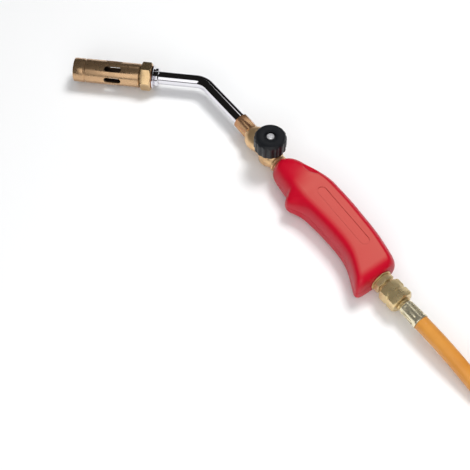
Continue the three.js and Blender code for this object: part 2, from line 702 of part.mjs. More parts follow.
/** The coil's centre: the hose runs into its outer turn on a tangent. */
function coilCentre() {
  const [reach] = HOSE_FALL[HOSE_FALL.length - 1];
  const outer = COIL_RADIUS + HOSE_RADIUS;
  const heading = radians(GRIP_ANGLE);
  return hosePoint(reach, 0).add(new THREE.Vector3(-Math.sin(heading), Math.cos(heading), 0)
    .multiplyScalar(outer));
}

/** The angle about the coil's centre after turning by some degrees from the tangent point. */
function coilAngle(turn) {
  return radians(GRIP_ANGLE - 90 + turn);
}

/** The coil's cross-section, grown by a margin: the turns lie two below and one on top. */
function coilSection(margin) {
  const inner = COIL_RADIUS - 2 * HOSE_RADIUS - margin;
  const outer = COIL_RADIUS + 2 * HOSE_RADIUS + margin;
  const shoulder = COIL_FLOOR + 1.6 * HOSE_RADIUS;
  const top = COIL_TOP + margin;
  const narrow = HOSE_RADIUS + 2 + margin / 2;
  return [
    [inner, COIL_FLOOR - margin], [outer, COIL_FLOOR - margin], [outer, shoulder],
    [COIL_RADIUS + narrow, top], [COIL_RADIUS - narrow, top], [inner, shoulder],
    [inner, COIL_FLOOR - margin],
  ];
}

function hoseCoil() {
  return upright(coilSection(0), 40);
}

/** The hose's run into the coil, cut back to the coil's outside. */
function hoseRun() {
  const points = HOSE_FALL.map(([distance, height]) => hosePoint(distance, height));
  const run = swept(new THREE.CatmullRomCurve3(points), HOSE_RADIUS, 0, 8, 5);
  const centre = coilCentre();
  return run.subtract(moved(upright(coilSection(GAP), 40), centre.x, centre.y, 0));
}

/** A tie round the coil's turns, at a place on the ring, with its head outside. */
function cableTie() {
  const outline = new THREE.Shape(coilSection(GAP + TIE_THICK).map(([x, y]) => new THREE.Vector2(x, y)));
  outline.holes.push(new THREE.Path(coilSection(GAP).map(([x, y]) => new THREE.Vector2(x, y))));
  const settings = { depth: TIE_WIDTH, bevelEnabled: false };
  const band = toSolid(new THREE.ExtrudeGeometry(outline, settings)
    .rotateX(Math.PI / 2).translate(0, TIE_WIDTH / 2, 0));
  const head = new THREE.BoxGeometry(4.4, 6.4, 6.6);
  const outside = COIL_RADIUS + 2 * HOSE_RADIUS + GAP + TIE_THICK;
  return band.add(toSolid(head.translate(outside + 2, 0, COIL_FLOOR + 5)));
}

/** The end of the hose, lying on the coil and rising to its fitting. */
function hoseEnd() {
  const centre = coilCentre();
  const points = [];
  for (let turn = END_FROM; turn <= END_TURN + 0.1; turn += (END_TURN - END_FROM) / 5) {
    const angle = coilAngle(turn);
    const rise = THREE.MathUtils.smoothstep(turn, END_FROM, END_TURN);
    const height = THREE.MathUtils.lerp(COIL_TOP + HOSE_RADIUS + GAP, END_HEIGHT, rise);
    points.push(new THREE.Vector3(
      centre.x + COIL_RADIUS * Math.cos(angle), centre.y + COIL_RADIUS * Math.sin(angle), height,
    ));
  }
  const heading = coilAngle(END_TURN) + Math.PI / 2;
  const along = new THREE.Vector3(Math.cos(heading), Math.sin(heading), 0);
  const last = points[points.length - 1];
  points.push(last.clone().addScaledVector(along, END_STRAIGHT / 2));
  points.push(last.clone().addScaledVector(along, END_STRAIGHT));
  return swept(new THREE.CatmullRomCurve3(points), HOSE_RADIUS, 0, 8, 5);
}

/** The end fitting's frame: its +X points back along the hose, as the torch's own fitting does. */
function endFrame() {
  const centre = coilCentre();
  const angle = coilAngle(END_TURN);
  const heading = angle + Math.PI / 2;
  const reach = END_STRAIGHT + FERRULE_TO + GAP;
  return frameAt(
    centre.x + COIL_RADIUS * Math.cos(angle) + reach * Math.cos(heading),
    centre.y + COIL_RADIUS * Math.sin(angle) + reach * Math.sin(heading),
    END_HEIGHT,
    THREE.MathUtils.radToDeg(heading) + 180,
  );
}

/** The wide nut of the gas supply end, free to turn on its tail. */
function endNut() {
  const bore = turned([
    [0, END_NUT_FROM - 1], [10.6, END_NUT_FROM - 1], [10.1, END_NUT_FROM + 0.8], [10.1, 223.2],
    [9.4, 224.2], [5.9, 225.2], [5.2, 225.6], [5.2, NUT_TO + 1], [0, NUT_TO + 1],
  ], 20);
  return hexBar(END_NUT_HEX, END_NUT_FROM, NUT_TO, 30, [0.08, 0.12]).subtract(bore);
}

function endTail() {
  const profile = [
    [2.4, 217.5], [4.4, 217.5], [8.8, 221.9], [8.8, 222.9], [5.5, 224.6], [4.9, 225.2], [4.9, NUT_TO + 0.4],
    [6.3, NUT_TO + 0.6], [6.3, FERRULE_FROM - GAP], [3, FERRULE_FROM - GAP], [3, FERRULE_TO - 1],
    [2.4, FERRULE_TO - 1], [2.4, 217.5],
  ];
  return turned(profile, 20);
}

// ---- The torch -------------------------------------------------------------------------------

const torch = new THREE.Group();

// The line of the neck's end and the grip, and the valve turned from it.
const line = frameAt(VALVE_X, VALVE_Y, AXIS_HEIGHT, GRIP_ANGLE);
torch.add(line);
const valve = frameAt(0, 0, 0, VALVE_TURN);
line.add(valve);

// The burner's mouth lies back along its own axis from the neck's corner.
const lean = radians(BURNER_ANGLE - GRIP_ANGLE);
const burner = frameAt(
  -NECK_DROP - NECK_REACH * Math.cos(lean), -NECK_REACH * Math.sin(lean), 0, BURNER_ANGLE - GRIP_ANGLE,
);
line.add(burner);
add(burner, 'burner_tube', burnerTube(), 'brass');
add(burner, 'flame_holder', flameHolder(), 'brass');
add(burner, 'gas_jet', gasJet(), 'brightBrass');
add(burner, 'burner_hex', burnerHex(), 'brass');
add(burner, 'burner_seal', burnerSeal(), 'copper');
add(burner, 'neck_collar', neckCollar(), 'chrome');

add(line, 'neck_tube', neckTube(), 'chrome');
add(valve, 'valve_body', valveBody(), 'brass');
const spindle = new THREE.Group();
spindle.position.x = KNOB_AT;
valve.add(spindle);
add(spindle, 'valve_spindle', valveSpindle(), 'steel');
add(spindle, 'spindle_seal', spindleSeal(), 'blackRubber');
add(spindle, 'gland_nut', glandNut(), 'brass');
add(spindle, 'gland_packing', glandPacking(), 'whiteSeal');
add(spindle, 'knob', knob(), 'blackPlastic');
add(spindle, 'knob_washer', knobWasher(), 'steel');
add(spindle, 'knob_screw', knobScrew(), 'chrome');

add(line, 'grip_shell_upper', upperShell(), 'redPlastic');
add(line, 'grip_shell_lower', lowerShell(), 'redPlastic');
SCREW_PLACES.forEach(([x, y], i) => {
  const screw = add(line, `grip_screw_${i + 1}`, shellScrew(), 'steel');
  screw.position.set(x, y, 0);
});
add(line, 'grip_pipe', gripPipe(), 'copper');

const inlet = new THREE.Group();
inlet.position.y = INLET_SIDE;
line.add(inlet);
add(inlet, 'inlet_washer', inletWasher(), 'brightBrass');
add(inlet, 'inlet_connector', inletConnector(), 'brightBrass');
add(inlet, 'hose_nut', hoseNut(), 'brightBrass');
add(inlet, 'hose_tail', hoseTail(), 'brightBrass');
add(inlet, 'hose_ferrule', hoseFerrule(), 'yellowZinc');

add(torch, 'hose_run', hoseRun(), 'orangeRubber');
const centre = coilCentre();
const coil = add(torch, 'hose_coil', hoseCoil(), 'orangeRubber');
coil.position.set(centre.x, centre.y, 0);
TIE_PLACES.forEach((place, i) => {
  const tie = add(torch, `cable_tie_${i + 1}`, cableTie(), 'blackPlastic');
  tie.position.set(centre.x, centre.y, 0);
  tie.rotation.z = radians(place);
});
add(torch, 'hose_end', hoseEnd(), 'orangeRubber');

const end = endFrame();
torch.add(end);
add(end, 'end_ferrule', hoseFerrule(), 'yellowZinc');
add(end, 'end_tail', endTail(), 'brightBrass');
add(end, 'end_nut', endNut(), 'brightBrass');

export default torch;
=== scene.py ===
"""Lampwork torch: the finished look of a hand torch for glass bead work.

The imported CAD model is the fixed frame. Every visible piece is modelled here in the same frame, at
the same size, and dressed with procedural materials. Sizes are in millimetres in the frame of the
sub-assembly that a piece belongs to, and each piece is placed in metres at the end of its making.
"""
import json
import logging
import math
from collections.abc import Callable, Iterator
from contextlib import contextmanager
from dataclasses import dataclass, field
from enum import Enum
from functools import cache

import bpy
from mathutils import Matrix, Vector


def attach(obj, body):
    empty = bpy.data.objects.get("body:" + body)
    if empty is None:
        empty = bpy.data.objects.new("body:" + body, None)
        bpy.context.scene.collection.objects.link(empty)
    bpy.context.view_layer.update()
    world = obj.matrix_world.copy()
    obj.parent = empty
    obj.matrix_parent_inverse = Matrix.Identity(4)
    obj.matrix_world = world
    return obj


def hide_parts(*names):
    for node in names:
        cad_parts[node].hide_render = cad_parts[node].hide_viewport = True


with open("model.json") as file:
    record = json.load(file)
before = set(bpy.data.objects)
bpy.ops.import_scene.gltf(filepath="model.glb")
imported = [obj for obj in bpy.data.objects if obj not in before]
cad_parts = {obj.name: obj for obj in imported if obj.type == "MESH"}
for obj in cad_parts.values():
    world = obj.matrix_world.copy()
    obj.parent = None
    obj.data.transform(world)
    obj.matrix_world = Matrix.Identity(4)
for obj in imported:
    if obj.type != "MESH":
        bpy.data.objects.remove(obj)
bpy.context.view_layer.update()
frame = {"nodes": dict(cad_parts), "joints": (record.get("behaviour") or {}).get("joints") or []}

LOG = logging.getLogger("torch")
MM = 0.001
WELD = 2e-7
CRUMB = 1e-6
GAP = 0.3
SMOOTH_BELOW = 38.0
Profile = list[tuple[float, float]]
Point = tuple[float, float, float]
Colour = tuple[float, float, float]
Piece = bpy.types.Object
Tree = bpy.types.NodeTree
Node = bpy.types.Node
Socket = bpy.types.NodeSocket
Feed = Socket | float | tuple[float, ...]


# ---- Where the sub-assemblies stand ---------------------------------------------------------------

AXIS_HEIGHT = 15.0
VALVE_PLACE = (4.246, 68.857)
GRIP_ANGLE = -53.4
VALVE_TURN = -2.8
BURNER_ANGLE = -7.5
NECK_DROP = 57.1
NECK_REACH = 122.0
KNOB_AT = 45.4
INLET_SIDE = -8.8
FERRULE_FROM = 230.9
FERRULE_TO = 250.0


def frame_at(x: float, y: float = 0.0, z: float = 0.0, heading: float = 0.0) -> Matrix:
    """A frame at a place, turned to a heading.

    Args:
        x: place along X, in millimetres.
        y: place along Y, in millimetres.
        z: height, in millimetres.
        heading: degrees that its X axis is turned about Z.

    Returns:
        The frame's matrix, in metres.
    """
    turn = Matrix.Rotation(math.radians(heading), 4, "Z")
    return Matrix.Translation(Vector((x, y, z)) * MM) @ turn


LINE = frame_at(*VALVE_PLACE, AXIS_HEIGHT, GRIP_ANGLE)
VALVE = LINE @ frame_at(0, heading=VALVE_TURN)
SPINDLE = VALVE @ frame_at(KNOB_AT)
LEAN = math.radians(BURNER_ANGLE - GRIP_ANGLE)
BURNER = LINE @ frame_at(
    -NECK_DROP - NECK_REACH * math.cos(LEAN), -NECK_REACH * math.sin(LEAN), 0, math.degrees(LEAN)
)
INLET = LINE @ frame_at(0, INLET_SIDE)
LAID_DOWN = Matrix.Rotation(math.pi / 2, 4, "Y")


def supply_frame() -> Matrix:
    """The frame of the fitting at the hose's far end, from the joint that its nut spins on."""
    swivel = next(entry for entry in frame["joints"] if entry["name"] == "supply_nut_spin")
    axis = Vector(swivel["axis"])
    place = Vector(swivel["pos_m"]) / MM
    return frame_at(*place, math.degrees(math.atan2(-axis.y, -axis.x)))


def held(value: float) -> float:
    """A value held between 0 and 1."""
    return min(max(value, 0.0), 1.0)


def eased(share: float) -> float:
    """A smooth rise from 0 to 1, held at its ends."""
    share = held(share)
    return share * share * (3 - 2 * share)


# ---- Bench work: how a piece is cut, joined and finished ------------------------------------------

class Carve(Enum):
    """What a tool does to a piece."""

    CUT = "DIFFERENCE"
    JOIN = "UNION"
    KEEP = "INTERSECT"


class Stand(Enum):
    """How a piece that was made along the bench's X axis stands in its frame."""

    ALONG = "along X"
    UPRIGHT = "along Z"


def idle() -> None:
    """Leaves nothing selected and no piece in edit mode."""
    if bpy.context.mode != "OBJECT":
        bpy.ops.object.mode_set(mode="OBJECT")
    bpy.ops.object.select_all(action="DESELECT")


def pick(piece: Piece) -> None:
    """Makes one piece the selected and active one."""
    idle()
    piece.select_set(True)
    bpy.context.view_layer.objects.active = piece


def named(name: str) -> Piece:
    """Names the piece that an operator has just made, and its mesh."""
    piece = bpy.context.object
    piece.name = name
    piece.data.name = name
    return piece


@contextmanager
def editing(action: str | None = "SELECT") -> Iterator[None]:
    """Edit mode for a stretch of work on the active piece.

    Args:
        action: what is done to the selection first; None keeps it.
    """
    bpy.ops.object.mode_set(mode="EDIT")
    if action is not None:
        bpy.ops.mesh.select_all(action=action)
    yield
    bpy.ops.object.mode_set(mode="OBJECT")


def draw_out(step: Vector | Point) -> None:
    """Extrudes what is selected by a step in metres."""
    bpy.ops.mesh.extrude_region_move(TRANSFORM_OT_translate={"value": step})


def face_out() -> None:
    """Merges the doubles of the mesh in edit mode and points its faces outwards."""
    bpy.ops.mesh.select_all(action="SELECT")
    bpy.ops.mesh.remove_doubles(threshold=WELD)
    bpy.ops.mesh.normals_make_consistent(inside=False)


def freeze() -> None:
    """Applies the active piece's place, turn and size to its mesh."""
    bpy.ops.object.transform_apply(location=True, rotation=True, scale=True)


def spun(name: str, profile: Profile, steps: int = 72) -> Piece:
    """Turns a profile about the X axis, as a lathe does.

    Args:
        name: the new piece's name.
        profile: radius and distance of each point; it starts and ends on the axis, or closes.
        steps: how many facets the turned surface has round the axis.

    Returns:
        The closed turned piece.
    """
    idle()
    bpy.ops.mesh.primitive_plane_add(size=MM, location=(0, 0, 0))
    piece = named(name)
    places = [Vector((along, 0, radius)) * MM for radius, along in profile]
    with editing():
        bpy.ops.mesh.merge(type="CENTER")
        bpy.ops.transform.translate(value=places[0])
        for here, there in zip(places, places[1:]):
            draw_out(there - here)
        bpy.ops.mesh.select_all(action="SELECT")
        bpy.ops.mesh.spin(steps=steps, angle=2 * math.pi, center=(0, 0, 0), axis=(1, 0, 0))
        bpy.ops.mesh.select_all(action="SELECT")
        bpy.ops.mesh.remove_doubles(threshold=WELD)
        bpy.ops.mesh.dissolve_degenerate(threshold=WELD)
        bpy.ops.mesh.normals_make_consistent(inside=False)
    return piece


def rod(name: str, radius: float, start: float, end: float, steps: int = 48) -> Piece:
    """A plain round rod about X, to cut or to join."""
    return spun(name, [(0, start), (radius, start), (radius, end), (0, end)], steps)


def ring(name: str, inner: float, outer: float, start: float, end: float) -> Piece:
    """A flat ring about X between two radii."""
    return spun(name, [(inner, start), (outer, start), (outer, end), (inner, end), (inner, start)])


def block(name: str, middle: Point, size: Point) -> Piece:
    """A plain block, to cut or to join, from its middle and its size."""
    idle()
    bpy.ops.mesh.primitive_cube_add(size=1)
    cube = named(name)
    size_in_metres = Matrix.Diagonal((*(length * MM for length in size), 1))
    cube.matrix_world = Matrix.Translation(Vector(middle) * MM) @ size_in_metres
    freeze()
    return cube


def carve(piece: Piece, tool: Piece, how: Carve) -> Piece:
    """Cuts, joins or trims a piece with a tool, which is used up.

    Args:
        piece: the piece that is worked on.
        tool: the closed shape that works on it.
        how: cut away, join on, or keep only what they share.

    Returns:
        The same piece.
    """
    pick(piece)
    work = piece.modifiers.new("work", "BOOLEAN")
    work.operation = how.value
    work.solver = "EXACT"
    work.object = tool
    bpy.ops.object.modifier_apply(modifier=work.name)
    bpy.data.objects.remove(tool, do_unlink=True)
    with editing():
        bpy.ops.mesh.remove_doubles(threshold=CRUMB)
        bpy.ops.mesh.dissolve_degenerate(threshold=CRUMB)
    return piece


def thicken(piece: Piece, thickness: float, offset: float) -> None:
    """Gives a bare surface a wall.

    Args:
        piece: the active piece.
        thickness: the wall's thickness in millimetres.
        offset: -1 for a wall inside the surface, 0 for one about it.
    """
    wall = piece.modifiers.new("wall", "SOLIDIFY")
    wall.thickness = thickness * MM
    wall.offset = offset
    bpy.ops.object.modifier_apply(modifier=wall.name)


def soften(piece: Piece, width: float, segments: int = 2, angle: float = 32.0) -> Piece:
    """Rounds a piece's sharp edges a little and shades it smooth between them.

    Args:
        piece: the piece.
        width: the rounding's width in millimetres; 0 leaves the edges sharp.
        segments: facets across a rounded edge.
        angle: edges that turn more than this many degrees are rounded.

    Returns:
        The same piece.
    """
    pick(piece)
    if width > 0:
        edge = piece.modifiers.new("edge", "BEVEL")
        edge.width = width * MM
        edge.segments = segments
        edge.limit_method = "ANGLE"
        edge.angle_limit = math.radians(angle)
        edge.use_clamp_overlap = True
        bpy.ops.object.modifier_apply(modifier=edge.name)
    bpy.ops.object.shade_smooth_by_angle(angle=math.radians(SMOOTH_BELOW))
    return piece


def settle(piece: Piece, place: Matrix, stand: Stand = Stand.ALONG) -> Piece:
    """Puts a finished piece in its place and applies the place to its mesh.

    Args:
        piece: a piece made about the origin.
        place: the frame it belongs to.
        stand: whether its X axis lies along the frame's X or stands up along its Z.

    Returns:
        The same piece, its object at the origin.
    """
    pick(piece)
    upright = Matrix.Rotation(-math.pi / 2, 4, "Y") if stand is Stand.UPRIGHT else Matrix.Identity(4)
    piece.matrix_world = place @ upright
    freeze()
    return piece


def raised(piece: Piece, x: float, y: float = 0.0) -> Piece:
    """Stands a piece up along Z at a place of its sub-assembly."""
    return settle(piece, frame_at(x, y), Stand.UPRIGHT)


def copy_of(piece: Piece, turn: float = 0.0, name: str = "tool") -> Piece:
    """A copy of a piece with a mesh of its own, turned about X by some degrees."""
    twin = piece.copy()
    twin.data = piece.data.copy()
    twin.name = name
    bpy.context.collection.objects.link(twin)
    pick(twin)
    twin.matrix_world = Matrix.Rotation(math.radians(turn), 4, "X") @ piece.matrix_world
    freeze()
    return twin


def gathered(pieces: list[Piece]) -> Piece:
    """Joins separate shapes into one tool."""
    idle()
    for piece in pieces:
        piece.select_set(True)
    bpy.context.view_layer.objects.active = pieces[0]
    bpy.ops.object.join()
    return bpy.context.object


def all_round(tool: Piece, count: int, start: float = 0.0) -> Piece:
    """Repeats a tool round the X axis, and uses up the first one."""
    copies = [copy_of(tool, start + 360 * i / count) for i in range(count)]
    bpy.data.objects.remove(tool, do_unlink=True)
    return gathered(copies)


def slot_tool(start: Point, end: Point, radius: float, low: float, high: float) -> Piece:
    """A prism with round ends, to cut a slot, between two points of the XY plane.

    Args:
        start: middle of the first round end.
        end: middle of the other.
        radius: half the slot's width.
        low: height that the prism starts at.
        high: height that it ends at.

    Returns:
        The prism.
    """
    idle()
    reach = Vector((end[0] - start[0], end[1] - start[1], 0))
    bpy.ops.mesh.primitive_cylinder_add(
        vertices=40, radius=radius * MM, depth=(high - low) * MM,
        location=(0, 0, (low + high) / 2 * MM),
    )
    tool = named("slot_tool")
    freeze()
    with editing("DESELECT"):
        pass
    for corner in tool.data.vertices:
        corner.select = corner.co.x > CRUMB
    with editing(None):
        bpy.ops.transform.translate(value=(reach.length * MM, 0, 0))
    heading = math.degrees(math.atan2(reach.y, reach.x))
    return settle(tool, frame_at(start[0], start[1], 0, heading))


def hexagon(name: str, flats: float, start: float, end: float, corner: float,
            chamfers: tuple[float, float]) -> Piece:
    """A hexagonal nut blank about X, its ends turned down to a cone.

    Args:
        name: the blank's name.
        flats: width across flats.
        start: distance of its first face.
        end: distance of its last face.
        corner: one corner's angle up from -Y, in degrees.
        chamfers: how far each end's cone reaches along the corners.

    Returns:
        The blank.
    """
    radius = flats / math.sqrt(3)
    idle()
    bpy.ops.mesh.primitive_cylinder_add(vertices=6, radius=radius * MM, depth=(end - start) * MM)
    blank = named(name)
    middle = Matrix.Translation(Vector(((start + end) / 2 * MM, 0, 0)))
    turn = Matrix.Rotation(math.radians(-corner), 4, "X")
    blank.matrix_world = middle @ turn @ Matrix.Rotation(math.radians(90), 4, "Y")
    freeze()
    face = flats / 2 - 0.15
    beyond = radius + 0.1
    turned_down = spun("turned_down", [
        (0, start), (face, start), (beyond, start + chamfers[0]),
        (beyond, end - chamfers[1]), (face, end), (0, end),
    ], 96)
    return carve(blank, turned_down, Carve.KEEP)


def mark(piece: Piece, value_at: Callable[[Vector], float]) -> None:
    """Writes the attribute that a finish reads for its marked colour: painted shade, painted sheen,
    tint.

    Args:
        piece: the piece.
        value_at: gives the value, from 0 to 1, at a place in millimetres.
    """
    painted_light_or_tint = piece.data.attributes.new("painted_light_or_tint", "FLOAT", "POINT")
    for corner, entry in zip(piece.data.vertices, painted_light_or_tint.data):
        entry.value = value_at(corner.co / MM)


def dress(piece: Piece, finish: "Finish", body: str, *nodes: str) -> Piece:
    """Gives a finished piece its material, its body and the CAD nodes that it stands for."""
    piece.data.materials.clear()
    piece.data.materials.append(finish.material())
    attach(piece, body)
    if nodes:
        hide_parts(*nodes)
    LOG.info("%s: %d faces on %s", piece.name, len(piece.data.polygons), body)
    return piece


# ---- Finishes -------------------------------------------------------------------------------------

class Slot(Enum):
    """The record's material slots."""

    WARM_BRASS = "warm_brass"
    BRIGHT_BRASS = "bright_brass"
    VALVE_BRASS = "valve_brass"
    COPPER = "copper"
    CHROME = "chrome"
    STEEL = "steel"
    YELLOW_ZINC = "yellow_zinc"
    RED_PLASTIC = "red_plastic"
    BLACK_PLASTIC = "black_plastic"
    TIE_PLASTIC = "tie_plastic"
    BLACK_RUBBER = "black_rubber"
    WHITE_SEAL = "white_seal"
    ORANGE_RUBBER = "orange_rubber"


def rgba(colour: Colour) -> tuple[float, ...]:
    """A colour as a socket takes it."""
    return (*colour, 1.0)


def feed(tree: Tree, node: Node, feeds: dict[str | int, Feed]) -> Node:
    """Sets or wires a node's inputs.

    Args:
        tree: the tree that the node is in.
        node: the node.
        feeds: a constant or the socket that drives it, for each input's name or number.

    Returns:
        The same node.
    """
    for label, value in feeds.items():
        if isinstance(value, Socket):
            tree.links.new(value, node.inputs[label])
        else:
            node.inputs[label].default_value = value
    return node


def add_node(tree: Tree, kind: str, feeds: dict[str | int, Feed]) -> Node:
    """A new node with its inputs set or wired."""
    return feed(tree, tree.nodes.new(kind), feeds)


def new_group(name: str, inputs: dict[str, object],
              outputs: dict[str, str]) -> tuple[Tree, dict[str, Socket], Node]:
    """A shader node group with named sockets.

    Args:
        name: the group's name.
        inputs: each input's name and its default value; None makes a vector input.
        outputs: each output's name and its kind, Float or Color.

    Returns:
        The group, the sockets that its inputs come in on, and its output node.
    """
    group = bpy.data.node_groups.new(name, "ShaderNodeTree")
    for label, value in inputs.items():
        kind = "Vector" if value is None else "Color" if isinstance(value, tuple) else "Float"
        socket = group.interface.new_socket(label, in_out="INPUT", socket_type=f"NodeSocket{kind}")
        if value is not None:
            socket.default_value = value
    for label, kind in outputs.items():
        group.interface.new_socket(label, in_out="OUTPUT", socket_type=f"NodeSocket{kind}")
    source = group.nodes.new("NodeGroupInput")
    result = group.nodes.new("NodeGroupOutput")
    return group, {label: source.outputs[label] for label in inputs}, result


def noise(tree: Tree, vector: Socket, scale: Feed, detail: float) -> Socket:
    """A noise texture on a vector."""
    feeds = {"Vector": vector, "Scale": scale, "Detail": detail}
    return add_node(tree, "ShaderNodeTexNoise", feeds).outputs["Fac"]


def spread(tree: Tree, value: Socket, low: float, high: float, to_low: Feed, to_high: Feed) -> Socket:
    """Maps a value from one range to another, held at its ends."""
    feeds = {"Value": value, "From Min": low, "From Max": high, "To Min": to_low, "To Max": to_high}
    return add_node(tree, "ShaderNodeMapRange", feeds).outputs["Result"]


def mixed(tree: Tree, factor: Socket, first: Feed, second: Feed) -> Socket:
    """A mix of two colours; its colour sockets are known by number."""
    node = tree.nodes.new("ShaderNodeMix")
    node.data_type = "RGBA"
    return feed(tree, node, {"Factor": factor, 6: first, 7: second}).outputs[2]


@cache
def handling_group() -> Tree:
    """Clouded tone and gloss, as handling and storage leave them."""
    group, source, result = new_group(
        "handling",
        {"Vector": None, "Colour": rgba((0.5, 0.5, 0.5)), "Tarnish": rgba((0.3, 0.3, 0.3)),
         "Amount": 0.5, "Polished": 0.2, "Dulled": 0.4},
        {"Colour": "Color", "Roughness": "Float"},
    )
    clouds = noise(group, source["Vector"], 55.0, 5.0)
    smudges = noise(group, source["Vector"], 240.0, 3.0)
    cloudy = spread(group, clouds, 0.38, 0.72, 0.0, source["Amount"])
    both = add_node(group, "ShaderNodeMath", {0: clouds, 1: smudges})
    both.operation = "MULTIPLY"
    feed(group, result, {
        "Colour": mixed(group, cloudy, source["Colour"], source["Tarnish"]),
        "Roughness": spread(
            group, both.outputs["Value"], 0.16, 0.36, source["Polished"], source["Dulled"]
        ),
    })
    return group


@cache
def turning_group() -> Tree:
    """Fine lathe marks: rings along the vector's X axis, with a little chatter."""
    group, source, result = new_group(
        "turning", {"Vector": None, "Fineness": 900.0}, {"Height": "Float"}
    )
    marks = add_node(group, "ShaderNodeTexWave", {
        "Vector": source["Vector"], "Scale": source["Fineness"], "Distortion": 1.6, "Detail": 2.0,
        "Detail Scale": 0.3,
    })
    marks.bands_direction = "X"
    chatter = noise(group, source["Vector"], 700.0, 2.0)
    total = add_node(group, "ShaderNodeMath", {0: chatter, 1: 0.5, 2: marks.outputs["Fac"]})
    total.operation = "MULTIPLY_ADD"
    feed(group, result, {"Height": total.outputs["Value"]})
    return group


@cache
def skin_group() -> Tree:
    """The fine orange-peel skin of a moulded or extruded surface."""
    group, source, result = new_group(
        "skin", {"Vector": None, "Fineness": 2600.0}, {"Height": "Float"}
    )
    feed(group, result, {"Height": noise(group, source["Vector"], source["Fineness"], 2.0)})
    return group


def shared(tree: Tree, group: Tree, feeds: dict[str | int, Feed]) -> Node:
    """A node group placed in a material with its own values."""
    node = tree.nodes.new("ShaderNodeGroup")
    node.node_tree = group
    return feed(tree, node, feeds)


@dataclass(frozen=True)
class Finish:
    """One surface finish.

    Attributes:
        name: the material's name.
        slot: the record's slot that it belongs to; not used.
        colour: its clean colour.
        tarnish: the colour that handling clouds it with.
        amount: how far the clouds go, from 0 to 1.
        polished: roughness where it is glossiest.
        dulled: roughness where it is dullest.
        metallic: 1 for bare metal, 0 for plastic, rubber and paint.
        turned: whether it carries lathe marks about its frame's X axis.
        relief: depth of its marks or skin, in millimetres.
        fineness: how close its marks or skin lie.
        heading: degrees that the piece's axis is turned about Z.
        painted_light_or_tint: colour where the mesh marks the surface, if it does: painted shade in
            the burner's bore, a painted sheen on the grip's flats, a darker tint on the valve's
            hexagon.
        marked_rough: roughness of the marked part.
        shine: the specular level.
        coat: clear gloss over it, from 0 to 1.
        coat_rough: roughness of that gloss.
    """

    name: str
    slot: Slot
    colour: Colour
    tarnish: Colour
    amount: float = 0.5
    polished: float = 0.2
    dulled: float = 0.35
    metallic: float = 1.0
    turned: bool = False
    relief: float = 0.004
    fineness: float = 900.0
    heading: float = 0.0
    painted_light_or_tint: Colour | None = None
    marked_rough: float = 0.42
    shine: float = 0.5
    coat: float = 0.0
    coat_rough: float = 0.08

    @cache
    def material(self) -> bpy.types.Material:
        """Wires the finish's nodes, once.

        Returns:
            The finish's material.
        """
        material = bpy.data.materials.new(self.name)
        material.use_nodes = True
        tree = material.node_tree
        place = tree.nodes.new("ShaderNodeTexCoord").outputs["Object"]
        turn = (0, 0, math.radians(-self.heading))
        mapping = add_node(tree, "ShaderNodeMapping", {"Vector": place, "Rotation": turn})
        aligned = mapping.outputs["Vector"]
        handled = shared(tree, handling_group(), {
            "Vector": aligned, "Colour": rgba(self.colour), "Tarnish": rgba(self.tarnish),
            "Amount": self.amount, "Polished": self.polished, "Dulled": self.dulled,
        })
        surface = turning_group() if self.turned else skin_group()
        marks = shared(tree, surface, {"Vector": aligned, "Fineness": self.fineness})
        bump = add_node(tree, "ShaderNodeBump", {
            "Strength": 1.0, "Distance": self.relief * MM, "Height": marks.outputs["Height"],
        })
        colour, rough = handled.outputs["Colour"], handled.outputs["Roughness"]
        # The marked part takes its own colour: painted shade in the burner's bore, a painted sheen on
        # the grip's flats, a darker tint on the valve's hexagon.
        if self.painted_light_or_tint is not None:
            mask = tree.nodes.new("ShaderNodeAttribute")
            mask.attribute_name = "painted_light_or_tint"
            colour = mixed(tree, mask.outputs["Fac"], colour, rgba(self.painted_light_or_tint))
            rough = spread(tree, mask.outputs["Fac"], 0.0, 1.0, rough, self.marked_rough)
        feed(tree, tree.nodes["Principled BSDF"], {
            "Base Color": colour, "Roughness": rough, "Normal": bump.outputs["Normal"],
            "Metallic": self.metallic, "Specular IOR Level": self.shine,
            "Coat Weight": self.coat, "Coat Roughness": self.coat_rough,
        })
        return material


# The burner's marked colour, near black, is painted shade on the bore's inner wall.
WARM_BRASS = Finish(
    "burner brass", Slot.WARM_BRASS, (0.62, 0.40, 0.225), (0.47, 0.26, 0.13), 0.35, 0.26, 0.36,
    metallic=0.9, turned=True, relief=0.0006, fineness=700.0, heading=BURNER_ANGLE,
    painted_light_or_tint=(0.045, 0.028, 0.018),
)
HEX_BRASS = Finish(
    "burner hexagon brass", Slot.WARM_BRASS, (0.74, 0.52, 0.28), (0.55, 0.34, 0.16), 0.3, 0.18, 0.28,
    metallic=0.92, relief=0.002, fineness=1500.0, heading=BURNER_ANGLE,
)
VALVE_BRASS = Finish(
    "cast valve brass", Slot.VALVE_BRASS, (0.80, 0.54, 0.29), (0.66, 0.38, 0.17), 0.4, 0.30, 0.44,
    metallic=0.8, relief=0.006, fineness=1300.0, heading=GRIP_ANGLE + VALVE_TURN,
    painted_light_or_tint=(0.50, 0.245, 0.125), marked_rough=0.17,
)
BRIGHT_BRASS = Finish(
    "fitting brass", Slot.BRIGHT_BRASS, (0.76, 0.59, 0.31), (0.58, 0.43, 0.20), 0.35, 0.26, 0.40,
    metallic=0.78, turned=True, relief=0.0005, fineness=800.0, heading=GRIP_ANGLE, coat=0.1,
)
COPPER = Finish("copper", Slot.COPPER, (0.72, 0.34, 0.20), (0.40, 0.16, 0.09), 0.6, 0.28, 0.45)
CHROME = Finish(
    "chrome", Slot.CHROME, (0.80, 0.79, 0.83), (0.72, 0.70, 0.75), 0.3, 0.03, 0.08,
    relief=0.0008, fineness=300.0,
)
STEEL = Finish(
    "zinc plated steel", Slot.STEEL, (0.80, 0.80, 0.82), (0.60, 0.60, 0.62), 0.4, 0.25, 0.4,
    metallic=0.5,
)
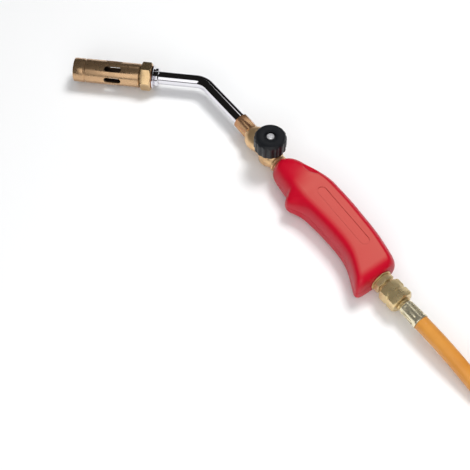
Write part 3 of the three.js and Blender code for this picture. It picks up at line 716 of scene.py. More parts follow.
BLACK_STEEL = Finish(
    "blackened steel", Slot.STEEL, (0.05, 0.05, 0.055), (0.09, 0.09, 0.09), 0.4, 0.3, 0.45,
    metallic=0.6,
)
YELLOW_ZINC = Finish(
    "yellow zinc", Slot.YELLOW_ZINC, (0.84, 0.77, 0.56), (0.68, 0.60, 0.38), 0.4, 0.20, 0.34,
    metallic=0.8, relief=0.002, fineness=1100.0, heading=GRIP_ANGLE,
)
# The grip's marked colour, a paler salmon, is a painted sheen on its flats, standing in for the light
# that they reflect.
RED_PLASTIC = Finish(
    "red grip plastic", Slot.RED_PLASTIC, (0.52, 0.003, 0.020), (0.46, 0.002, 0.017), 0.25, 0.36,
    0.42, metallic=0.0, relief=0.003, fineness=2200.0, painted_light_or_tint=(0.58, 0.095, 0.08), shine=0.28,
    coat=0.06,
)
BLACK_PLASTIC = Finish(
    "black knob plastic", Slot.BLACK_PLASTIC, (0.009, 0.010, 0.012), (0.014, 0.015, 0.017), 0.4, 0.34,
    0.46, metallic=0.0, relief=0.006, fineness=2400.0, shine=0.32,
)
TIE_PLASTIC = Finish(
    "cable tie plastic", Slot.TIE_PLASTIC, (0.018, 0.018, 0.019), (0.03, 0.03, 0.03), 0.4, 0.4, 0.6,
    metallic=0.0, relief=0.004, fineness=1800.0,
)
BLACK_RUBBER = Finish(
    "black rubber", Slot.BLACK_RUBBER, (0.02, 0.02, 0.02), (0.03, 0.03, 0.03), 0.3, 0.6, 0.8,
    metallic=0.0,
)
WHITE_SEAL = Finish(
    "white seal", Slot.WHITE_SEAL, (0.80, 0.79, 0.75), (0.7, 0.69, 0.64), 0.3, 0.4, 0.6, metallic=0.0,
)
ORANGE_RUBBER = Finish(
    "orange hose", Slot.ORANGE_RUBBER, (0.68, 0.295, 0.05), (0.56, 0.21, 0.03), 0.6, 0.34, 0.48,
    metallic=0.0, relief=0.006, fineness=1400.0, coat=0.1,
)


# ---- Burner ---------------------------------------------------------------------------------------

@dataclass
class Burner:
    """The burner: a slotted tube, its flame holder and the hexagon behind it. +X runs to the neck."""

    radius: float = 11.0
    bore: float = 9.0
    length: float = 62.0
    groove_at: float = 10.4
    slot_from: float = 29.2
    slot_to: float = 45.2
    slot_width: float = 5.6
    slots: int = 6
    slot_phase: float = 7.0
    hex_from: float = 63.2
    hex_to: float = 73.0
    hex_flats: float = 23.0
    ports: int = 8
    # How far out from the bore the painted shade on the tube's inner wall reaches, in millimetres.
    bore_shade_depth: float = 0.35

    def tube(self) -> Piece:
        """The tube, with a rolled groove near its mouth and six long air slots."""
        depths = ((0, -1.1), (0.25, -0.7), (0.6, -0.15), (0.6, 0.15), (0.25, 0.7), (0, 1.1))
        groove = [(self.radius - depth, self.groove_at + along) for depth, along in depths]
        tube = spun("burner_tube_fine", [
            (self.bore, 0.5), (self.bore + 0.15, 0.15), (self.bore + 0.5, 0), (self.radius - 0.5, 0),
            (self.radius - 0.15, 0.15), (self.radius, 0.5), *groove,
            (self.radius, self.length - 0.5), (self.radius - 0.5, self.length),
            (self.bore, self.length), (self.bore, 0.5),
        ], 120)
        half = self.slot_width / 2
        start = (self.slot_from + half, 0, 0)
        end = (self.slot_to - half, 0, 0)
        cutter = slot_tool(start, end, half, self.bore - 3, self.radius + 3)
        carve(tube, all_round(cutter, self.slots, 90 - self.slot_phase), Carve.CUT)
        soften(tube, 0.28, 3, 30)
        # The bore's inner wall is marked for the near-black painted shade.
        mark(tube, lambda place: float(place.yz.length < self.bore + self.bore_shade_depth))
        return dress(settle(tube, BURNER), WARM_BRASS, "torch", "burner_tube")

    def flame_holder(self) -> Piece:
        """The disc in the mouth: a ring of ports round a larger one."""
        rim = self.bore - 0.25
        front = self.groove_at - 4
        holder = spun("flame_holder_fine", [
            (0, front + 1), (rim - 1.8, front + 1), (rim - 1.2, front), (rim, front),
            (rim, front + 8), (rim - 1.2, front + 8), (rim - 1.2, front + 3.5), (0, front + 3.5),
        ], 72)
        port = rod("port", 1.1, front - 1, front + 5, 24)
        port.data.transform(frame_at(0, 0, 5.2))
        ports = all_round(port, self.ports)
        carve(holder, gathered([ports, rod("jet_port", 2.1, front - 1, front + 5, 32)]), Carve.CUT)
        soften(holder, 0.12)
        return dress(settle(holder, BURNER), WARM_BRASS, "torch", "flame_holder")

    def hexagon(self) -> Piece:
        """The hexagon that closes the burner; its spigot holds the tube."""
        blank = hexagon("burner_hex_fine", self.hex_flats, self.hex_from, self.hex_to, 14, (0.8, 1.6))
        neck = spun("spigot", [
            (0, 52), (self.bore - 0.8, 52), (self.bore - GAP, 52.6),
            (self.bore - GAP, self.hex_from + 0.6), (0, self.hex_from + 0.6),
        ], 72)
        carve(blank, neck, Carve.JOIN)
        bore = spun("bore", [(0, 51), (4.7, 51), (4.7, 64.8), (7.1, 64.8), (7.1, 74), (0, 74)])
        carve(blank, bore, Carve.CUT)
        soften(blank, 0.3, 3, 24)
        return dress(settle(blank, BURNER), HEX_BRASS, "torch", "burner_hex")

    def build(self) -> None:
        """Builds the burner's pieces."""
        self.tube()
        self.flame_holder()
        self.hexagon()


# ---- Neck -----------------------------------------------------------------------------------------

@dataclass
class Neck:
    """The chromed neck: a flanged collar on the burner and a bent tube to the valve."""

    radius: float = 6.0
    wall: float = 1.6
    bend: float = 18.0
    drop: float = NECK_DROP
    hidden: float = NECK_REACH - 66.5
    collar_face: float = 73.9

    def collar(self) -> Piece:
        """The collar: a thin flange, a groove and a round bead, rolled in one piece."""
        bore = self.radius + 0.25
        face = self.collar_face
        bead = [
            (8.75 + 1.35 * math.cos(angle) - 1.2, face + 4.0 - 1.9 * math.sin(angle))
            for angle in (math.pi * (0.5 - i / 12) for i in range(13))
        ]
        collar = spun("neck_collar_fine", [
            (bore, 66), (6.8, 66), (6.8, face), (10.6, face), (11.05, face + 0.15),
            (11.2, face + 0.6), (11.05, face + 1.0), (10.7, face + 1.25), (8.4, face + 1.75),
            (7.9, face + 2.0), *bead,
            (bore + 0.3, face + 5.9), (bore, face + 5.6), (bore, 66),
        ], 96)
        soften(collar, 0.0)
        return dress(settle(collar, BURNER), CHROME, "torch", "neck_collar")

    def tube(self) -> Piece:
        """The tube: a ring drawn out straight, spun through the bend and drawn out again."""
        along = Vector((math.cos(LEAN), math.sin(LEAN), 0))
        tangent = self.bend * math.tan(LEAN / 2)
        straight = self.hidden - tangent
        run = self.drop - 2 * GAP - tangent
        idle()
        bpy.ops.mesh.primitive_circle_add(
            vertices=64, radius=self.radius * MM, rotation=(0, math.pi / 2, 0)
        )
        tube = named("neck_tube_fine")
        freeze()
        with editing():
            for _ in range(2):
                draw_out((straight / 2 * MM, 0, 0))
            pivot = (straight * MM, -self.bend * MM, 0)
            bpy.ops.mesh.spin(steps=28, angle=LEAN, center=pivot, axis=(0, 0, 1))
            for _ in range(2):
                draw_out((along.x * run / 2 * MM, -along.y * run / 2 * MM, 0))
            face_out()
        thicken(tube, self.wall, -1.0)
        soften(tube, 0.0)
        start = Vector((-self.drop, 0, 0)) - self.hidden * along
        place = LINE @ frame_at(*start, math.degrees(LEAN))
        return dress(settle(tube, place), CHROME, "torch", "neck_tube")

    def build(self) -> None:
        """Builds the neck's pieces."""
        self.collar()
        self.tube()


# ---- Valve ----------------------------------------------------------------------------------------

@dataclass
class Valve:
    """The needle valve. +X runs from the neck to the grip, and the knob stands on +Z."""

    flats: float = 14.0
    hex_length: float = 16.5
    boss_radius: float = 10.3
    boss_top: float = 10.0
    tail_radius: float = 6.2
    tail_end: float = 74.0

    def body(self) -> Piece:
        """The forged body: a hexagon, two swellings, the knob's boss, a bead and the tail."""
        barrel = spun("valve_body_fine", [
            (0, self.hex_length - 2), (7.0, self.hex_length - 1), (7.5, self.hex_length + 0.6),
            (8.6, 18.6), (9.7, 20.0), (10.5, 22.2), (10.8, 24.4), (10.75, 26.6), (10.4, 29),
            (9.7, 31.4), (8.9, 33.6), (8.7, 36), (8.8, 46.5), (9.2, 49), (9.4, 51), (9.2, 52.8),
            (8.4, 54.4),
            (7.2, 55.6), (6.6, 56.4), (6.6, 57), (7.4, 57.3), (8.0, 57.9), (8.25, 58.7), (8.0, 59.5),
            (7.3, 60.1), (self.tail_radius, 60.4), (self.tail_radius, self.tail_end),
            (0, self.tail_end),
        ], 96)
        boss = spun("boss", [
            (0, -9.2), (6.4, -9.2), (8.2, -8.4), (9.4, -6.8), (10.0, -4), (self.boss_radius, 1),
            (self.boss_radius, self.boss_top - 0.8), (self.boss_radius - 0.8, self.boss_top),
            (0, self.boss_top),
        ], 96)
        carve(barrel, raised(boss, KNOB_AT), Carve.JOIN)
        nose = hexagon("valve_hex", self.flats, 0, self.hex_length, 60, (0.9, 0.4))
        carve(barrel, nose, Carve.JOIN)
        chamber = spun("chamber", [
            (0, -4), (4.2, -2.4), (4.2, 7.2), (5.2, 7.2), (5.2, 12), (0, 12),
        ], 48)
        carve(barrel, raised(chamber, KNOB_AT), Carve.CUT)
        socket = settle(rod("socket", 4.95, -2, 8.8), frame_at(0, heading=-VALVE_TURN))
        carve(barrel, socket, Carve.CUT)
        carve(barrel, rod("bore", 4.4, 62, self.tail_end + 1), Carve.CUT)
        soften(barrel, 0.35, 3, 28)
        mark(barrel, lambda place: float(place.x < self.hex_length - 0.2))
        return dress(settle(barrel, VALVE), VALVE_BRASS, "torch", "valve_body")

    def gland_nut(self) -> Piece:
        """The gland nut under the knob."""
        nut = hexagon("gland_nut_fine", 14, self.boss_top + GAP, 14.6, 0, (0.2, 0.8))
        thread = spun("thread", [(0, 7.8), (4.6, 7.8), (4.9, 8.1), (4.9, 11), (0, 11)])
        carve(nut, thread, Carve.JOIN)
        bore = spun("bore", [(0, 7), (4.1, 7), (4.1, 10.2), (2.9, 10.2), (2.9, 16), (0, 16)])
        carve(nut, bore, Carve.CUT)
        soften(nut, 0.2)
        return dress(settle(nut, SPINDLE, Stand.UPRIGHT), VALVE_BRASS, "torch", "gland_nut")

    def build(self) -> None:
        """Builds the valve's pieces."""
        self.body()
        self.gland_nut()


@dataclass
class Knob:
    """The knob on the spindle, with the washer and screw that hold it."""

    radius: float = 14.3
    bottom: float = 10.6
    top: float = 25.2
    face_radius: float = 12.3
    flutes: int = 16
    flute_radius: float = 3.4
    flute_depth: float = 0.75

    def cap(self) -> Piece:
        """The fluted cap, hollow below, with a recess for its screw."""
        cap = spun("knob_fine", [
            (4.4, 15.6), (4.4, 19.0), (11.0, 18.2), (11.2, self.bottom + 0.4), (11.5, self.bottom),
            (self.radius - 0.5, self.bottom), (self.radius, self.bottom + 0.5),
            (self.radius, self.top - 3.4), (self.radius - 0.2, self.top - 2.4),
            (self.face_radius + 0.5, self.top - 0.7), (self.face_radius + 0.15, self.top - 0.2),
            (self.face_radius - 0.4, self.top), (5.6, self.top), (5.1, self.top - 0.2),
            (4.9, self.top - 0.6), (4.7, 22.9), (2.8, 22.9), (2.8, 15.6), (4.4, 15.6),
        ], 128)
        reach = self.radius + self.flute_radius - self.flute_depth
        cutter = rod("flute", self.flute_radius, self.bottom - 1, self.top - 1.6, 32)
        cutter.data.transform(frame_at(0, 0, reach))
        carve(cap, all_round(cutter, self.flutes), Carve.CUT)
        soften(cap, 0.22, 3, 26)
        return dress(settle(cap, SPINDLE, Stand.UPRIGHT), BLACK_PLASTIC, "knob_set", "knob")

    def washer(self) -> Piece:
        """The flat washer in the recess."""
        washer = ring("knob_washer_fine", 1.6, 4.2, 23.1, 23.5)
        soften(washer, 0.1)
        return dress(settle(washer, SPINDLE, Stand.UPRIGHT), BLACK_STEEL, "knob_set", "knob_washer")

    def screw(self) -> Piece:
        """The pan-head screw, with a cross recess."""
        angles = [math.radians(degrees) for degrees in range(0, 90, 10)]
        crown = [(3.3 * math.cos(angle), 24.2 + 1.5 * math.sin(angle)) for angle in angles]
        screw = spun("knob_screw_fine", [
            (0, 16.8), (1.2, 17.4), (1.2, 23.7), (3.1, 23.7), (3.3, 23.9), *crown, (0, 25.7),
        ], 64)
        for heading in (0, 90):
            cutter = slot_tool((-1.7, 0, 0), (1.7, 0, 0), 0.42, 24.6, 26.5)
            cutter.data.transform(LAID_DOWN @ frame_at(0, heading=heading))
            carve(screw, cutter, Carve.CUT)
        soften(screw, 0.12)
        return dress(settle(screw, SPINDLE, Stand.UPRIGHT), STEEL, "knob_set", "knob_screw")

    def build(self) -> None:
        """Builds the knob's pieces."""
        self.cap()
        self.washer()
        self.screw()


# ---- Grip -----------------------------------------------------------------------------------------

@dataclass
class Grip:
    """The pistol grip: two moulded shells, screwed together from below. +X runs to the hose.

    Each station is a distance, the back edge, the front edge and half the thickness.
    """

    stations: tuple[tuple[float, float, float, float], ...] = (
        (61.6, 0.6, -8.0, 7.2), (62.4, 3.8, -11.2, 10.0), (64.2, 6.3, -13.2, 11.8),
        (67.5, 8.9, -15.0, 13.4), (73.0, 11.4, -16.0, 14.5), (80.0, 13.4, -17.0, 15.0),
        (92.0, 17.7, -18.3, 15.0),
        (104.0, 20.3, -18.6, 15.0), (118.0, 20.4, -18.2, 15.0), (134.0, 19.8, -17.6, 15.0),
        (148.0, 18.6, -17.8, 15.0), (160.0, 17.5, -18.6, 15.0), (171.0, 16.1, -20.8, 15.0),
        (181.0, 14.2, -24.9, 15.0), (190.0, 12.2, -29.6, 15.0), (194.0, 11.1, -31.7, 14.8),
        (197.0, 9.9, -32.9, 13.9), (199.2, 8.4, -33.0, 12.2), (200.6, 6.4, -31.6, 10.2),
        (201.2, 3.6, -28.8, 7.8),
    )
    half_thick: float = 15.0
    corner: float = 9.8
    wall: float = 2.8
    seam: float = 0.15
    sides: int = 112
    step: float = 1.25
    hook: tuple[tuple[float, float], ...] = (
        (88.0, 0.0), (91.0, 0.4), (93.0, 3.0), (95.0, 5.6), (97.5, 7.0), (100.0, 7.1), (103.0, 5.9),
        (107.0, 3.6), (112.0, 1.5), (118.0, 0.3), (123.0, 0.0),
    )
    hook_half: float = 11.5
    hook_power: int = 7
    band_from: float = 91.0
    band_sweep: float = 13.0
    band_rise: float = 3.5
    band_fullness: float = 0.26
    field: tuple[Point, Point] = ((111.8, 1.9, 0), (170.6, -1.5, 0))
    field_radius: float = 4.3
    field_depth: float = 0.5
    screws: tuple[tuple[float, float], ...] = ((86.0, 8.2), (135.0, 10.0), (184.0, 3.8))
    dish_place: Point = (87.0, 9.9, 17.0)
    dish_size: Point = (10.5, 6.0, 4.5)
    dish_lean: float = 15.0
    hollow_from: float = 65.5

    @staticmethod
    def flowing(rows: tuple[tuple[float, ...], ...], along: float) -> list[float]:
        """Reads a table of rows at any distance on a smooth curve through them.

        Args:
            rows: distance and values of each row, in order.
            along: where to read.

        Returns:
            The values there.
        """
        last = len(rows) - 1
        row = next((i for i in range(last) if along <= rows[i + 1][0]), last - 1)
        before, here = rows[max(row - 1, 0)], rows[row]
        there, after = rows[row + 1], rows[min(row + 2, last)]
        width = there[0] - here[0]
        share = held((along - here[0]) / width)
        values = []
        for column in range(1, len(here)):
            slope_in = (there[column] - before[column]) / (there[0] - before[0]) * width
            slope_out = (after[column] - here[column]) / (after[0] - here[0]) * width
            s, q, c = share, share ** 2, share ** 3
            values.append(
                (2 * c - 3 * q + 1) * here[column] + (c - 2 * q + s) * slope_in
                + (3 * q - 2 * c) * there[column] + (c - q) * slope_out
            )
        return values

    def surface(self, along: float, angle: float, inset: float) -> Vector:
        """A point of the grip's skin, or of its hollow.

        Args:
            along: distance along the grip.
            angle: angle round the section, from the back edge up over the side.
            inset: how far inside the skin the point lies.

        Returns:
            The point, in millimetres.
        """
        back, front, half = self.flowing(self.stations, along)
        width = (back - front) / 2 - inset
        height = min(half, self.half_thick) - inset
        corner = min(width, self.corner)
        rise, reach = math.sin(angle), math.cos(angle)
        side = 1 if reach >= 0 else -1
        modelled_front = side < 0 and inset == 0
        if modelled_front:
            band = along - self.band_from - self.band_sweep * rise ** 2
            power = 1 - self.band_fullness * eased(band / self.band_rise)
            rise = math.copysign(abs(rise) ** power, rise)
            reach = -abs(reach) ** power
        across = (back + front) / 2 + side * (width - corner) + corner * reach
        up = height * rise
        if modelled_front:
            beak = max(self.flowing(self.hook, along)[0], 0.0)
            fade = 1 / (1 + (abs(up) / self.hook_half) ** self.hook_power)
            across -= beak * fade * math.cos(angle) ** 2
        return Vector((along, across, up))

    def skin(self, name: str, inset: float, start: float, end: float) -> Piece:
        """The grip's closed form, drawn out ring by ring from its nose to its end.

        Args:
            name: the form's name.
            inset: how far inside the skin it lies.
            start: distance of its first ring.
            end: distance of its last ring.

        Returns:
            The closed form.
        """
        idle()
        bpy.ops.mesh.primitive_circle_add(vertices=self.sides, radius=MM, fill_type="NGON")
        form = named(name)
        count = max(2, round((end - start) / self.step))
        dense = [start + (end - start) * i / count for i in range(count + 1)]
        edges = [start + 0.25, start + 0.6, end - 0.9, end - 0.45, end - 0.15]
        places = sorted(set(dense + edges)) if inset == 0 else dense
        with editing():
            for _ in places[1:]:
                draw_out((0, 0, MM))
        for corner in form.data.vertices:
            layer = round(corner.co.z / MM)
            angle = math.atan2(corner.co.y, corner.co.x)
            corner.co = self.surface(places[layer], angle, inset) * MM
        pick(form)
        with editing():
            bpy.ops.mesh.normals_make_consistent(inside=False)
        return form

    def thumb_dish(self, side: int) -> Piece:
        """The leaf-shaped facet for the thumb, as a cutter on one side of the grip."""
        idle()
        bpy.ops.mesh.primitive_uv_sphere_add(segments=64, ring_count=40, radius=MM)
        ball = named("thumb_dish")
        x, y, z = self.dish_place
        lean = -self.dish_lean if side > 0 else self.dish_lean - 180
        ball.matrix_world = (
            frame_at(x, y, z * side, 15) @ Matrix.Rotation(math.radians(lean), 4, "X")
            @ Matrix.Diagonal((*self.dish_size, 1))
        )
        freeze()
        return ball

    def hollow_grip(self) -> Piece:
        """The whole grip, hollow, with its screw bosses, before it is parted."""
        last = self.stations[-1][0]
        grip = self.skin("grip", 0.0, self.stations[0][0], last)
        for side in (1, -1):
            carve(grip, self.thumb_dish(side), Carve.CUT)
        carve(grip, self.skin("hollow", self.wall, self.hollow_from, last - 4.2), Carve.CUT)
        for x, y in self.screws:
            boss = raised(rod("boss", 3.6, -13.2, 13.2, 32), x, y)
            carve(boss, self.skin("limit", 0.9, self.hollow_from, last - 2), Carve.KEEP)
            carve(grip, boss, Carve.JOIN)
        nose = settle(rod("nose", 6.5, 58, 68, 64), frame_at(0, heading=VALVE_TURN))
        inlet_hole = settle(rod("inlet_hole", 6.7, 190, 204, 64), frame_at(0, INLET_SIDE))
        for hole in (nose, inlet_hole):
            carve(grip, hole, Carve.CUT)
        return grip

    def shell(self, whole: Piece, side: int, name: str) -> Piece:
        """Parts one shell from the whole grip and sinks its long field.

        Args:
            whole: the hollow grip.
            side: 1 for the upper shell, -1 for the lower one.
            name: the shell's name.

        Returns:
            The shell, still in the grip's own frame.
        """
        shell = copy_of(whole, 0, name)
        low, high = sorted((side * self.seam, side * 20))
        half_space = block("half_space", (131, 0, (low + high) / 2), (200, 120, high - low))
        carve(shell, half_space, Carve.KEEP)
        start, end = self.field
        deep = self.half_thick - self.field_depth
        above = self.half_thick + 2
        low, high = sorted((side * deep, side * above))
        carve(shell, slot_tool(start, end, self.field_radius, low, high), Carve.CUT)
        low, high = sorted((side * (deep - 0.2), side * above))
        rim = slot_tool(start, end, self.field_radius, low, high)
        inner = slot_tool(start, end, self.field_radius - 0.4, low - 1, high + 1)
        carve(rim, inner, Carve.CUT)
        carve(shell, rim, Carve.CUT)
        return shell

    def painted_sheen_at(self, place: Vector) -> float:
        """How far a place lies within the flat of a shell, from 0 to 1, with soft borders: where the
        paler painted sheen lies.
        """
        along, across, up = place
        back, front, half = self.flowing(self.stations, along)
        to_back = (back - self.corner + 2.2 - across) / 1.2
        to_front = (across - front - self.corner + 5.5) / 5.0
        to_nose = (along - 82 + 0.5 * (across - (back + front) / 2)) / 14
        to_end = (196.5 - along) / 5
        flat = (abs(up) / half - 0.86) / 0.1
        return min(held(to_back), held(to_front)) * held(to_nose) * held(to_end) * held(flat)

    def shells(self) -> None:
        """Builds both shells."""
        whole = self.hollow_grip()
        upper = self.shell(whole, 1, "grip_shell_upper_fine")
        lower = self.shell(whole, -1, "grip_shell_lower_fine")
        bpy.data.objects.remove(whole, do_unlink=True)
        for x, y in self.screws:
            carve(upper, raised(rod("pilot", 1.5, -1, 9, 24), x, y), Carve.CUT)
            sunk = spun("sunk_hole", [(0, -16), (3, -16), (3, -10), (1.5, -10), (1.5, 1), (0, 1)], 40)
            carve(lower, raised(sunk, x, y), Carve.CUT)
        for shell, node in ((upper, "grip_shell_upper"), (lower, "grip_shell_lower")):
            # The flats are marked for the paler painted sheen.
            mark(shell, self.painted_sheen_at)
            soften(shell, 0.0)
            dress(settle(shell, LINE), RED_PLASTIC, "torch", node)

    def screw(self, number: int, x: float, y: float) -> None:
        """One of the screws that hold the shells together."""
        screw = spun(f"grip_screw_{number}_fine", [
            (0, -12.2), (1.9, -12.2), (2.5, -11.9), (2.7, -11.4), (2.7, -10.2), (1.2, -10.2),
            (1.2, 7), (0, 8),
        ], 48)
        cutter = slot_tool((-1.5, 0, 0), (1.5, 0, 0), 0.35, -13, -11.3)
        cutter.data.transform(LAID_DOWN)
        carve(screw, cutter, Carve.CUT)
        soften(screw, 0.1)
        place = LINE @ frame_at(x, y)
        dress(settle(screw, place, Stand.UPRIGHT), STEEL, "torch", f"grip_screw_{number}")

    def build(self) -> None:
        """Builds the grip's pieces."""
        self.shells()
        for number, (x, y) in enumerate(self.screws, 1):
            self.screw(number, x, y)


# ---- Inlet and hose fittings -----------------------------------------------------------------------

@dataclass
class Fittings:
    """The brass fittings between grip and hose. +X runs to the hose, on the inlet's own axis."""

    grip_end: float = 201.2
    hex_flats: float = 16.0
    nut_from: float = 210.3
    nut_to: float = 228.2
    nut_flats: float = 19.0
    notch_turn: float = 1.3

    def washer(self) -> Piece:
        """The washer between grip and connector."""
        washer = ring("inlet_washer_fine", 6.6, 9.9, self.grip_end + GAP, self.grip_end + GAP + 0.9)
        soften(washer, 0.15)
        return dress(settle(washer, INLET), BRIGHT_BRASS, "torch", "inlet_washer")

    def connector(self) -> Piece:
        """The connector: a shank in the grip, a hexagon and the threaded end in the nut."""
        start = self.grip_end + 1.4
        end = start + 5.4
        body = hexagon("inlet_connector_fine", self.hex_flats, start, end, 30, (0.6, 0.9))
        shank = spun("shank", [
            (0, 187), (6.0, 187), (6.3, 187.4), (6.3, start + 0.5), (6.4, end - 0.5), (6.4, 209),
            (7.9, 209.6), (8.1, 210.6), (8.1, 218.4), (7.4, 219), (0, 219),
        ], 72)
        carve(body, shank, Carve.JOIN)
        bore = spun("bore", [
            (0, 185), (4.7, 185), (4.7, 190), (2.6, 191), (2.6, 215), (5.6, 220), (0, 220),
        ])
        carve(body, bore, Carve.CUT)
        soften(body, 0.25, 3, 26)
        return dress(settle(body, INLET), BRIGHT_BRASS, "torch", "inlet_connector")

    def nut(self) -> Piece:
        """The hose nut; the notch round its corners marks its left-hand thread."""
        middle = (self.nut_from + self.nut_to) / 2
        corner = self.nut_flats / math.sqrt(3)
        nut = hexagon("hose_nut_fine", self.nut_flats, self.nut_from, self.nut_to, 30, (1.0, 1.4))
        notch = spun("notch", [
            (corner - 1.1, middle - 0.4), (corner - 1.1, middle + 0.4), (corner + 1, middle + 2.2),
            (corner + 1, middle - 2.2), (corner - 1.1, middle - 0.4),
        ], 96)
        notch.data.transform(Matrix.Rotation(math.radians(self.notch_turn), 4, "X"))
        carve(nut, notch, Carve.CUT)
        bore = spun("bore", [
            (0, self.nut_from - 1), (8.9, self.nut_from - 1), (8.5, self.nut_from + 0.8),
            (8.5, 220.5), (7.8, 222), (5.6, 224.4), (5.2, 225), (5.2, self.nut_to + 1),
            (0, self.nut_to + 1),
        ], 72)
        carve(nut, bore, Carve.CUT)
        soften(nut, 0.35, 3, 24)
        return dress(settle(nut, INLET), BRIGHT_BRASS, "torch", "hose_nut")

    def tail(self) -> Piece:
        """The hose tail: a nipple in the nut, a shoulder and a barbed stem."""
        barbs = [point for i in range(3) for point in
                 ((3.5, FERRULE_FROM + 2 + 5 * i), (3.0, FERRULE_FROM + 2.8 + 5 * i))]
        tail = spun("hose_tail_fine", [
            (2.4, 219.3), (3.2, 219.3), (7.2, 221.4), (7.2, 221.9), (4.9, 224.4),
            (4.9, self.nut_to + 0.4), (6.3, self.nut_to + 0.6), (6.3, FERRULE_FROM - GAP),
            (3.4, FERRULE_FROM - GAP), *barbs,
            (3, FERRULE_TO - 1), (2.4, FERRULE_TO - 1), (2.4, 219.3),
        ], 64)
        soften(tail, 0.12)
        return dress(settle(tail, INLET), BRIGHT_BRASS, "torch", "hose_tail")

    @staticmethod
    def ferrule(name: str, place: Matrix, node: str) -> Piece:
        """A crimped ferrule: a thin sleeve with six pressed ovals, each with a raised middle.

        Args:
            name: the piece's name.
            place: the frame of the fitting that it belongs to.
            node: the CAD node that it stands for.

        Returns:
            The finished ferrule.
        """
        start, end = FERRULE_FROM, FERRULE_TO
        sleeve = spun(name, [
            (3.8, start), (5.5, start), (5.95, start + 0.2), (6.15, start + 0.7), (6.4, start + 2),
            (6.9, end - 2.6), (7.2, end - 2.0), (7.35, end - 1.2), (7.35, end - 0.3), (7.2, end),
            (6.8, end), (3.8, end - 0.6), (3.8, start),
        ], 96)
        oval = slot_tool((start + 4.8, 0, 0), (end - 5.4, 0, 0), 2.15, 5.95, 9)
        island = slot_tool((start + 5.0, 0, 0), (end - 5.6, 0, 0), 1.0, 5.5, 6.45)
        carve(oval, island, Carve.CUT)
        carve(sleeve, all_round(oval, 6, 30), Carve.CUT)
        soften(sleeve, 0.16, 2, 28)
        return dress(settle(sleeve, place), YELLOW_ZINC, "torch", node)

    def build(self) -> None:
        """Builds the fittings at the torch's end of the hose."""
        self.washer()
        self.connector()
        self.nut()
        self.tail()
        self.ferrule("hose_ferrule_fine", INLET, "hose_ferrule")


@dataclass
class Supply:
    """The supply fitting at the hose's far end, in a frame like the inlet's."""

    nut_from: float = 211.5
    nut_to: float = 228.2
    nut_flats: float = 24.0

    def nut(self) -> Piece:
        """The wide nut that spins on its tail."""
        nut = hexagon("end_nut_fine", self.nut_flats, self.nut_from, self.nut_to, 30, (1.1, 1.6))
        bore = spun("bore", [
            (0, self.nut_from - 1), (10.6, self.nut_from - 1), (10.1, self.nut_from + 0.8),
            (10.1, 223.2), (9.4, 224.2), (5.9, 225.2), (5.2, 225.6), (5.2, self.nut_to + 1),
            (0, self.nut_to + 1),
        ], 96)
        carve(nut, bore, Carve.CUT)
        soften(nut, 0.35, 3, 24)
        return dress(settle(nut, supply_frame()), BRIGHT_BRASS, "supply_nut", "end_nut")

    def tail(self) -> Piece:
        """The coned tail that the nut pulls on to the gas outlet."""
        tail = spun("end_tail_fine", [
            (2.4, 217.5), (4.2, 217.5), (4.6, 217.7), (8.6, 221.7), (8.8, 222.1), (8.8, 222.9),
            (5.5, 224.6), (4.9, 225.2), (4.9, self.nut_to + 0.4), (6.3, self.nut_to + 0.6),
            (6.3, FERRULE_FROM - GAP), (3, FERRULE_FROM - GAP), (3, FERRULE_TO - 1),
            (2.4, FERRULE_TO - 1), (2.4, 217.5),
        ], 72)
        soften(tail, 0.12)
        return dress(settle(tail, supply_frame()), BRIGHT_BRASS, "torch", "end_tail")

    def build(self) -> list[Piece]:
        """Builds the supply fitting.

        Returns:
            Its pieces, which lie on the hose's end.
        """
        ferrule = Fittings.ferrule("end_ferrule_fine", supply_frame(), "end_ferrule")
        return [ferrule, self.tail(), self.nut()]


# ---- Hose -----------------------------------------------------------------------------------------

